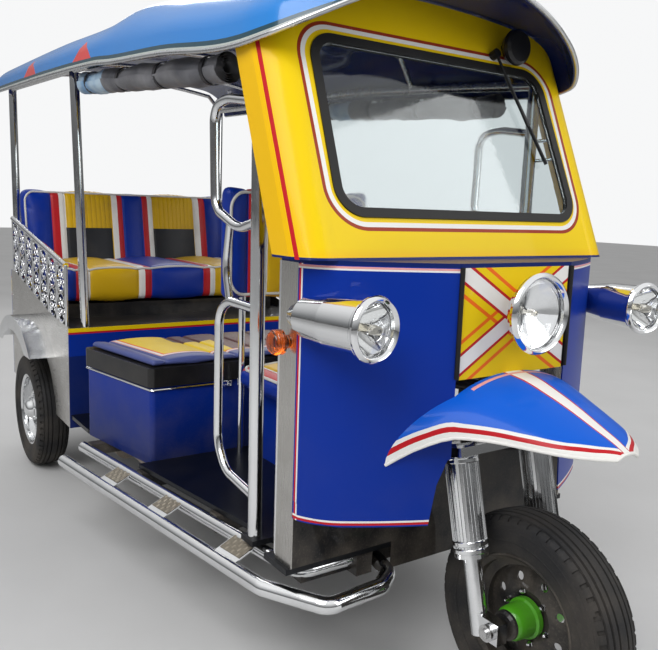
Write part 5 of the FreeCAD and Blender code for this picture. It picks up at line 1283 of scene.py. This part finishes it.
# %% Beading and rolled rims
HEM = chrome("hem_silver", (0.62, 0.63, 0.64), 0.22, 0.15, 0.1)
front_bow = [Vector((AXLE_X - 0.276, y, z)) for y, z in ((0.066, 1.790), (0.0, 1.7955), (-0.066, 1.790))]
left_hem = [Vector(section[0]) for section in roof_grid[::-1]]
right_hem = [Vector((point.x, -point.y, point.z)) for point in reversed(left_hem)]
hem = tube("roof_hem", left_hem + front_bow + right_hem, 0.0065)
dress(hem, HEM, "body", 50.0)

for side, tag in ((1, "left"), (-1, "right")):
    y = side * 0.190
    bead = tube(f"panel_bead_{tag}", [(AXLE_X - 0.114, y, 0.846), (AXLE_X - 0.114, y, 1.104)], 0.0060)
    dress(bead, TRIM_RUBBER, "body")

left_rim = [Vector((point.x, point.y - 0.001, point.z)) for point in guard_rim[::2]]
right_rim = [Vector((point.x, -point.y, point.z)) for point in reversed(left_rim)]
beak = [Vector((AXLE_X + x, y, z)) for x, y, z in
        ((0.217, 0.018, 0.7325), (0.2172, 0, 0.7345), (0.217, -0.018, 0.7325))]
rim_wire = tube("mudguard_rim", left_rim + beak + right_rim, 0.0042)
# The rolled rim's wire is painted white as a painted highlight along the rim.
dress(rim_wire, RIM_HIGHLIGHT_PAINT, "body", 50.0)
print("pieces so far:", len(made_pieces))

# %% [markdown]
# The cushions are sewn covers over foam. A real one is cut a little small and stuffed, so it swells
# between its seams and pulls in along them. Here a rounded block a little smaller than the space is
# remeshed, its seam lines and underside are pinned, and cloth pressure blows it up. No point may move
# further than a cap. One subdivision smooths what is left.

# %% Stuffed cushions
SEAM_DEPTH = 0.0045
PIPING = vinyl("piping_vinyl", (0.62, 0.61, 0.58), 0.4, 0.15)


def stuffed(name, low, high, seams, voxel, shrink, cap, rounding, held, shaped=None):
    """A cushion blown up inside its space; held tells which points are fixed besides the seams."""
    inset = Vector((shrink, shrink, shrink))
    pad = block(name, Vector(low) + inset, Vector(high) - inset, rounding, 4)
    only(pad)
    remesh = pad.modifiers.new("even_faces", "REMESH")
    remesh.mode = "VOXEL"
    remesh.voxel_size = voxel
    bpy.ops.object.modifier_apply(modifier=remesh.name)
    start = [vertex.co.copy() for vertex in pad.data.vertices]
    pins = pad.vertex_groups.new(name="seams")
    fixed = [vertex.index for vertex in pad.data.vertices
             if held(vertex.co) or any(abs(vertex.co.y - seam) < voxel * 0.55 for seam in seams)]
    pins.add(fixed, 1.0, "REPLACE")
    cloth = pad.modifiers.new("stuffing", "CLOTH")
    cloth.settings.use_pressure = True
    cloth.settings.uniform_pressure_force = 4.0
    cloth.settings.effector_weights.gravity = 0.0
    cloth.settings.vertex_group_mass = "seams"
    cloth.point_cache.frame_start = 1
    cloth.point_cache.frame_end = 20
    for number in range(1, 21):
        scene.frame_set(number)
    bpy.ops.object.modifier_apply(modifier=cloth.name)
    scene.frame_set(1)
    for vertex, origin in zip(pad.data.vertices, start):
        move = vertex.co - origin
        if move.length > cap:
            vertex.co = origin + move * (cap / move.length)
    finer = pad.modifiers.new("finer", "SUBSURF")
    finer.levels = 1
    bpy.ops.object.modifier_apply(modifier=finer.name)
    pad.vertex_groups.clear()
    edges = [-9.0, *seams, 9.0]
    for vertex, normal in [(vertex, vertex.normal.copy()) for vertex in pad.data.vertices]:
        nearest = min(abs(vertex.co.y - seam) for seam in seams)
        lower = max(edge for edge in edges if edge <= vertex.co.y)
        upper = min(edge for edge in edges if edge > vertex.co.y)
        panel = min(upper - lower, 0.24)
        swell = 0.035 * panel * (1 - max(0.0, 1 - 2 * nearest / panel) ** 2)
        sink = SEAM_DEPTH * math.exp(-(nearest / 0.0055) ** 2)
        if not held(vertex.co):
            vertex.co += normal * (swell - sink)
    if shaped:
        for vertex in pad.data.vertices:
            vertex.co = shaped(vertex.co)
    pad.data.update()
    return pad


def piping(name, pad, outline, inward, radius=0.0052):
    """A piped edge: a thin roll laid on the cushion where a ray from each outline point meets it."""
    inward = Vector(inward)
    points = []
    for corner in outline:
        hit, place, normal, _ = pad.ray_cast(Vector(corner), inward)
        if hit:
            points.append(place + normal * radius * 0.3)
    return tube(name, points, radius, True, 2)


def rounded_outline(low, high, corner, count=5):
    """A rounded rectangle in two axes, as (a, b) points."""
    points = []
    ends = ((high[0], high[1], 0), (low[0], high[1], 90), (low[0], low[1], 180), (high[0], low[1], 270))
    for a, b, start in ends:
        middle_a = a - math.copysign(corner, a - (low[0] + high[0]) / 2)
        middle_b = b - math.copysign(corner, b - (low[1] + high[1]) / 2)
        for step in range(count + 1):
            turn = math.radians(start + 90 * step / count)
            points.append((middle_a + corner * math.cos(turn), middle_b + corner * math.sin(turn)))
    return points


def smooth_run(outline, spacing=0.03):
    """Adds points between far corners so that the piping follows the crown."""
    points = []
    for index, here in enumerate(outline):
        there = outline[(index + 1) % len(outline)]
        gap = math.dist(here, there)
        count = max(1, int(gap / spacing))
        points += [tuple(a + (b - a) * step / count for a, b in zip(here, there)) for step in range(count)]
    return points


PADS = {  # node: (seams across, voxel, shrink, cap, rounding)
    "bench_cushion": ((-0.47, -0.41, -0.19, -0.13, 0.13, 0.19, 0.41, 0.47), 0.0100, 0.010, 0.020, 0.030),
    "driver_cushion": ((-0.205, -0.13, 0.13, 0.205), 0.0075, 0.007, 0.014, 0.020),
    "driver_backrest": ((-0.205, -0.13, 0.13, 0.205), 0.0075, 0.006, 0.012, 0.016),
}
for node, (seams, voxel, shrink, cap, rounding) in PADS.items():
    low, high = (Vector(corner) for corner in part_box(node))
    standing = node == "driver_backrest"
    back = low.x + shrink + 0.004 if standing else -9.0
    floor_line = -9.0 if standing else low.z + shrink + 0.004
    pad = stuffed(node + "_cover", low, high, seams, voxel, shrink, cap, rounding,
                  lambda point: point.z < floor_line or point.x < back)
    if standing:
        outline = rounded_outline((low.y + 0.016, low.z + 0.016), (high.y - 0.016, high.z - 0.016), 0.05)
        ring = smooth_run(outline)
        edge = piping(node + "_piping", pad, [(high.x + 0.1, y, z) for y, z in ring], (-1, 0, 0))
    else:
        outline = rounded_outline((low.x + 0.020, low.y + 0.020), (high.x - 0.020, high.y - 0.020), 0.03)
        ring = smooth_run(outline)
        edge = piping(node + "_piping", pad, [(x, y, high.z + 0.1) for x, y in ring], (0, 0, -1))
    dress(pad, FINISHES[node], "body", 80.0)
    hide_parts(node)
    dress(edge, PIPING, "body", 60.0)

# %% [markdown]
# The bench backrest leans with its supports, so it is blown up upright and sheared back afterwards.
# The lid pad is a trapezoid like the engine box, so its width grows towards the rear.

# %% Leaning backrest and lid pad
BACK_LEAN = 0.178


def lean_back(point):
    """Slides a point rearwards by its height above the seat."""
    return Vector((point.x - (point.z - 0.875) * BACK_LEAN, point.y, point.z))


BACK_SEAMS = (-0.413, -0.345, -0.112, -0.052, 0.052, 0.112, 0.345, 0.413)
back_pad = stuffed("bench_backrest_cover", (-1.4650, -0.545, 0.875), (-1.3650, 0.545, 1.268), BACK_SEAMS,
                   0.0090, 0.008, 0.018, 0.026, lambda point: point.x < -1.4530, lean_back)
ring = smooth_run(rounded_outline((-0.533, 0.890), (0.533, 1.256), 0.04))
edge = piping("bench_backrest_piping", back_pad, [(-1.2, y, z) for y, z in ring], (-1, 0, 0))
dress(back_pad, FINISHES["bench_backrest"], "body", 80.0)
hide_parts("bench_backrest")
dress(edge, PIPING, "body", 60.0)

lid_low, lid_high = (Vector(corner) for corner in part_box("lid_pad"))
LID_FRONT_HALF = 0.488
LID_SPREAD = (lid_high.y / LID_FRONT_HALF - 1) / (lid_high.x - lid_low.x)


def widen(point):
    """Spreads a point sideways, more towards the rear."""
    return Vector((point.x, point.y * (1 + (lid_high.x - point.x) * LID_SPREAD), point.z))


LID_SEAMS = (-0.44, -0.24, -0.18, -0.06, 0.06, 0.18, 0.24, 0.44)
lid_cover = stuffed("lid_pad_cover", (lid_low.x, -LID_FRONT_HALF, lid_low.z),
                    (lid_high.x, LID_FRONT_HALF, lid_high.z), LID_SEAMS, 0.0072, 0.003, 0.009, 0.007,
                    lambda point: point.z < lid_low.z + 0.007, widen)
dress(lid_cover, FINISHES["lid_pad"], "lid", 80.0)
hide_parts("lid_pad")

# %% [markdown]
# The rain curtains are coated cloth rolled up under the roof's edges and strapped. A roll is one
# sheet wound on itself, so its end shows a spiral, and the straps squeeze it.

# %% Rolled rain curtains
CURTAIN_TURNS, CURTAIN_CORE, CURTAIN_REACH = 5, 0.012, 0.042
STRAP_STEPS = (0.08, 0.36, 0.64, 0.92)


def rolled_sheet(name, front, back, steps=40, around=22):
    """Winds a spiral section and draws it from one end of the roll to the other."""
    front, back = Vector(front), Vector(back)
    axis = (back - front).normalized()
    side = axis.cross(Vector((0, 0, 1))).normalized()
    up = side.cross(axis)
    count = CURTAIN_TURNS * around
    spiral = []
    for index in range(count + 1):
        turn = math.tau * index / around
        radius = CURTAIN_CORE + (CURTAIN_REACH - CURTAIN_CORE) * index / count
        spiral.append(front + side * radius * math.cos(turn) + up * radius * math.sin(turn))
    roll = trace(name, spiral)
    editing(roll)
    bpy.ops.mesh.select_all(action="SELECT")
    for _ in range(steps):
        bpy.ops.mesh.extrude_edges_move(TRANSFORM_OT_translate={"value": (back - front) / steps})
    editing(roll, False)
    for vertex in roll.data.vertices:
        along = (vertex.co - front).dot(axis) / (back - front).length
        centre = front + axis * (vertex.co - front).dot(axis)
        pinch = sum(math.exp(-((along - strap) / 0.020) ** 2) for strap in STRAP_STEPS)
        sag = 0.006 * math.sin(math.pi * 4 * along) ** 2
        turn = math.atan2((vertex.co - centre).dot(up), (vertex.co - centre).dot(side))
        folds = 0.05 * math.sin(along * 23.0 + turn * 2) + 0.035 * math.sin(along * 61.0 - turn * 3)
        vertex.co = centre + (vertex.co - centre) * (1 - 0.16 * pinch + folds) - Vector((0, 0, sag))
    return weld(roll)


CURTAIN = FINISHES["side_curtains"]
STRAP = vinyl("strap_vinyl", (0.020, 0.020, 0.024), 0.5, 0.1)
STRAP_RING = [(-0.010, 0.0370), (-0.010, 0.0390), (0.010, 0.0390), (0.010, 0.0370), (-0.010, 0.0370)]
curtain_ends = (Vector((AXLE_X - 0.700, 0.491, 1.577)), Vector((AXLE_X - 1.790, 0.527, 1.656)))
roll = rolled_sheet("curtain_roll", *curtain_ends)
straps = []
for index, along in enumerate(STRAP_STEPS):
    middle = curtain_ends[0].lerp(curtain_ends[1], along) - Vector((0, 0, 0.004))
    axis = curtain_ends[1] - curtain_ends[0]
    straps.append(turned(f"curtain_strap_{index}", STRAP_RING, middle, axis, 32))
strap_set = joined("curtain_straps", straps)
for roll_piece in both(roll, CURTAIN, "body", 60.0):
    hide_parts("side_curtains")
both(strap_set, STRAP, "body", 40.0)

# %% [markdown]
# The running boards carry three short tread plates on each side. Tread plate is rolled with raised
# fields, so a plate's top is divided, and every second field is inset and raised.

# %% Tread plates
TREAD_STEEL = chrome("tread_steel", (0.30, 0.27, 0.22), 0.38, 0.3, 0.5)
BOARD_SPLAY = math.radians(8.1)
TREAD_INNER_Z, TREAD_OUTER_Z = 0.3352, 0.3113
TREAD_WIDTH = 0.048


def tread_plate(name, front, back, outer, across=4, along=7):
    """A thin plate with a chequer of raised fields, lower at its outer side and turned with the board."""
    inner = outer - TREAD_WIDTH
    plate = fresh("grid", name, x_subdivisions=along, y_subdivisions=across, size=1.0)
    editing(plate)
    pick(plate, lambda spot, _: (int((spot.x + 0.5) * along) + int((spot.y + 0.5) * across)) % 2 == 0)
    bpy.ops.mesh.inset(thickness=0.030, depth=0.0014, use_individual=True)
    editing(plate, False)
    for vertex in plate.data.vertices:
        share = vertex.co.y + 0.5
        x = back + (front - back) * (vertex.co.x + 0.5)
        turn = ((front + back) / 2 - x) * math.tan(BOARD_SPLAY)
        height = TREAD_INNER_Z + (TREAD_OUTER_Z - TREAD_INNER_Z) * share + vertex.co.z
        vertex.co = Vector((x, inner + TREAD_WIDTH * share + turn, height))
    return plate


TREAD_STATIONS = (-1.208, -0.893, -0.530)
plates = []
for index, station in enumerate(TREAD_STATIONS):
    front, back = AXLE_X + station - 0.003, AXLE_X + station - 0.092
    outer = 0.522 + (-0.420 - station + 0.0475) * math.tan(BOARD_SPLAY)
    plates.append(tread_plate(f"tread_plate_{index}", front, back, outer - 0.012))
both(joined("tread_plates", plates), TREAD_STEEL, "body", 20.0)

# %% [markdown]
# Bent tube is never a row of straight pieces: a bender leaves a round corner. The grab hoops get their
# corners by bevelling the vertices of the route before the tube is drawn along it.

# %% Grab hoops
def bent_tube(name, points, radius, corner, corners=4):
    """A tube whose route has rounded corners."""
    piece = trace(name, points)
    editing(piece)
    mesh = bmesh.from_edit_mesh(piece.data)
    bpy.ops.mesh.select_mode(type="VERT")
    for vertex in mesh.verts:
        vertex.select_set(len(vertex.link_edges) == 2)
    mesh.select_flush_mode()
    bmesh.update_edit_mesh(piece.data)
    bpy.ops.mesh.bevel(offset=corner, segments=8, affect="VERTICES")
    editing(piece, False)
    return thickened(piece, name, radius, corners)


HOOP_UPPER = [(-0.547, 0.490, 1.185), (-0.640, 0.484, 1.165), (-0.775, 0.488, 1.215),
              (-0.775, 0.494, 1.480), (-0.700, 0.496, 1.500), (-0.547, 0.496, 1.478)]
HOOP_LOWER = [(-0.547, 0.484, 0.968), (-0.700, 0.484, 0.972), (-0.752, 0.484, 0.930),
              (-0.752, 0.484, 0.560), (-0.700, 0.484, 0.492), (-0.547, 0.480, 0.470)]
HOOP_WAIST = [(-0.690, 0.484, 0.972), (-0.716, 0.484, 1.060), (-0.694, 0.484, 1.176)]
HOOPS = {  # tube: (route, radius of the tube, room taken by each corner)
    "upper": (HOOP_UPPER, 0.0128, 0.038),
    "lower": (HOOP_LOWER, 0.0128, 0.030),
    "waist": (HOOP_WAIST, 0.0108, 0.030),
}
hoop_tubes = []
for name, (route, radius, corner) in HOOPS.items():
    hoop_tubes.append(bent_tube("hoop_" + name, [(AXLE_X + x, y, z) for x, y, z in route], radius, corner))
hoop = joined("grab_hoops", hoop_tubes)
for piece in both(hoop, CHROME, "body", 50.0):
    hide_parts("hoops")

# %% [markdown]
# The side rails of the bench are filled with wrought scrolls. A scroll is a bar wound into a spiral,
# so each ring of the rail gets small spirals back to back inside it, and more in the corners between.

# %% Scrollwork
RAIL_FRONT, RAIL_BACK, RAIL_BAYS = AXLE_X - 1.940, AXLE_X - 2.870, 7
RAIL_Y = 0.5775


def rail_foot(x):
    """Height of the tub's upper edge at a place along the rail."""
    turn, end, tub_front = AXLE_X - 2.150, AXLE_X - 2.850, AXLE_X - 1.915
    if x > turn:
        return 0.721 + (tub_front - x) * 0.016 / (tub_front - turn)
    return 0.737 + 0.128 * min(1.0, (turn - x) / (turn - end))


def rail_top(x):
    """Height of the top rail's middle."""
    return 0.965 + (RAIL_FRONT - x) * 0.17


def scroll(name, centre, reach, turn_from, way):
    """A spiral of thin bar that winds in towards its centre."""
    points = []
    for index in range(19):
        share = index / 18
        turn = turn_from + way * share * math.tau * 1.35
        radius = reach * (1 - 0.82 * share)
        points.append((centre[0] + radius * math.cos(turn), centre[1], centre[2] + radius * math.sin(turn)))
    return tube(name, points, 0.0026, False, 1)


scrolls = []
bay = (RAIL_FRONT - RAIL_BACK) / RAIL_BAYS
for index in range(RAIL_BAYS):
    x = RAIL_FRONT - bay * (index + 0.5)
    low, high = rail_foot(x), rail_top(x)
    big = bay / 2 - 0.005
    small = (high - low - 0.012 - 2 * big) / 2
    spots = [(low + big, big - 0.007)]
    if small > 0.014:
        spots.append((low + 2 * big + small, small - 0.007))
    for z, room in spots:
        for side, lift in ((1, 0.45), (-1, 0.45), (1, -0.45), (-1, -0.45)):
            spot = (x + side * room * 0.46, RAIL_Y, z + lift * room)
            start = math.pi if side > 0 else 0.0
            way = side * math.copysign(1, lift)
            scrolls.append(scroll(f"scroll_{len(scrolls)}", spot, room * 0.44, start, way))
    for z in (low + 0.004, high - 0.020):
        for side in (1, -1):
            spot = (x + side * bay * 0.36, RAIL_Y, z + (0.020 if z < high - 0.1 else -0.012))
            scrolls.append(scroll(f"scroll_{len(scrolls)}", spot, 0.016, math.pi / 2 * side, side))
both(joined("rail_scrolls", scrolls), CHROME, "body", 60.0)

# %% [markdown]
# The cowl's side turns the corner down to its foot, so a strip of sheet lies behind the rounded corner
# and carries the blue and its lines straight down.

# %% Cowl corner
plan = arc_spots((-0.230, 0.418), (-0.275, 0.468), (-0.310, 0.490), 10) + [(-0.3295, 0.4925)]
foot_line = [(AXLE_X + x - 0.0006, y - 0.0008, 0.4905) for x, y in plan]
strip = trace("cowl_corner", foot_line)
editing(strip)
bpy.ops.mesh.select_all(action="SELECT")
bpy.ops.mesh.extrude_edges_move(TRANSFORM_OT_translate={"value": (0, 0, 0.078)})
editing(strip, False)
weld(strip)
sheet = strip.modifiers.new("sheet", "SOLIDIFY")
sheet.thickness = 0.0015
only(strip)
bpy.ops.object.modifier_apply(modifier=sheet.name)
both(strip, FINISHES["cowl"], "body", 40.0)

# %% [markdown]
# The engine box wears a bright strip under its black rim, ending in a catch at the front.

# %% Engine box trim
STRIP_Z = 0.606
corner_half, rear_half = 0.498, 0.578
for_left = [(AXLE_X - 1.672, rear_half + 0.0005, STRIP_Z), (AXLE_X - 1.228, corner_half + 0.0025, STRIP_Z),
            (AXLE_X - 1.2225, corner_half - 0.004, STRIP_Z), (AXLE_X - 1.2225, 0.250, STRIP_Z)]
strip = tube("box_strip", for_left, 0.0042, False, 2)
catch = block("box_catch", (AXLE_X - 1.2245, 0.205, STRIP_Z - 0.012),
              (AXLE_X - 1.2145, 0.245, STRIP_Z + 0.009), 0.003, 3)
pull_route = [(AXLE_X - 1.2145, 0.213, STRIP_Z - 0.004), (AXLE_X - 1.206, 0.213, STRIP_Z - 0.008),
              (AXLE_X - 1.206, 0.237, STRIP_Z - 0.008), (AXLE_X - 1.2145, 0.237, STRIP_Z - 0.004)]
pull = tube("box_pull", pull_route, 0.002, False, 2)
both(joined("box_trim", [strip, catch, pull]), CHROME, "body", 40.0)

# %% [markdown]
# Small hardware tells the eye how big the thing is: rivets along the tub's side panels and bright
# bezels round the tail lamps.

# %% Rivets and bezels
RIVET = [(0.0, 0.0052), (0.0008, 0.0050), (0.0020, 0.0036), (0.0026, 0.0)]


def rivet_row(name, spots, out):
    """Round-headed rivets along a row of places."""
    rivets = [turned(f"{name}_{index}", RIVET, spot, out, 8) for index, spot in enumerate(spots)]
    return joined(name, rivets)


side_spots = [(AXLE_X - 1.945 - 0.080 * index, 0.580, 0.705) for index in range(2)]
side_spots += [(AXLE_X - 1.930, 0.580, 0.400 + 0.085 * index) for index in range(4)]
side_spots += [(AXLE_X - 2.905, 0.580, 0.400 + 0.085 * index) for index in range(5)]
both(rivet_row("tub_rivets", side_spots, (0, 1, 0)), SATIN, "body", 30.0)

BEZEL = [(0.0, 0.047), (0.004, 0.0525), (0.013, 0.0515), (0.0165, 0.0465), (0.0125, 0.0455)]
back_x = AXLE_X - 2.935
bezels = [turned(f"tail_bezel_{index}", BEZEL, (back_x, 0.430, z), (-1, 0, 0), 36)
          for index, z in enumerate((0.560, 0.680))]
both(joined("tail_bezels", bezels), CHROME, "body", 35.0)

# %% [markdown]
# Each grip has a hand lever before it, held by a clamp round the bar. They turn with the steering.

# %% Hand levers
CLAMP = [(-0.012, 0.0128), (-0.010, 0.0175), (0.010, 0.0175), (0.012, 0.0128), (-0.012, 0.0128)]
bar_centre = STEER_FOOT + STEER_UP * 0.770
grip_end = bar_centre + Vector((-0.262, 0.296, 0.010))
grip_root = bar_centre + Vector((-0.150, 0.262, 0.022))
run = (grip_root - grip_end).normalized()
fore = Vector((run.y, -run.x, 0)).normalized()
if fore.x < 0:
    fore = -fore
perch = grip_end + run * 0.108
lever_spots = [perch + fore * 0.012, perch + fore * 0.031,
               grip_end + run * 0.062 + fore * 0.036, grip_end + run * 0.030 + fore * 0.031]
lever = bent_tube("bar_lever", lever_spots, 0.0042, 0.010)
mount = turned("lever_mount", CLAMP, perch, run, 28)
both(joined("bar_levers", [lever, mount]), SATIN, "steering", 40.0)
print("pieces so far:", len(made_pieces))
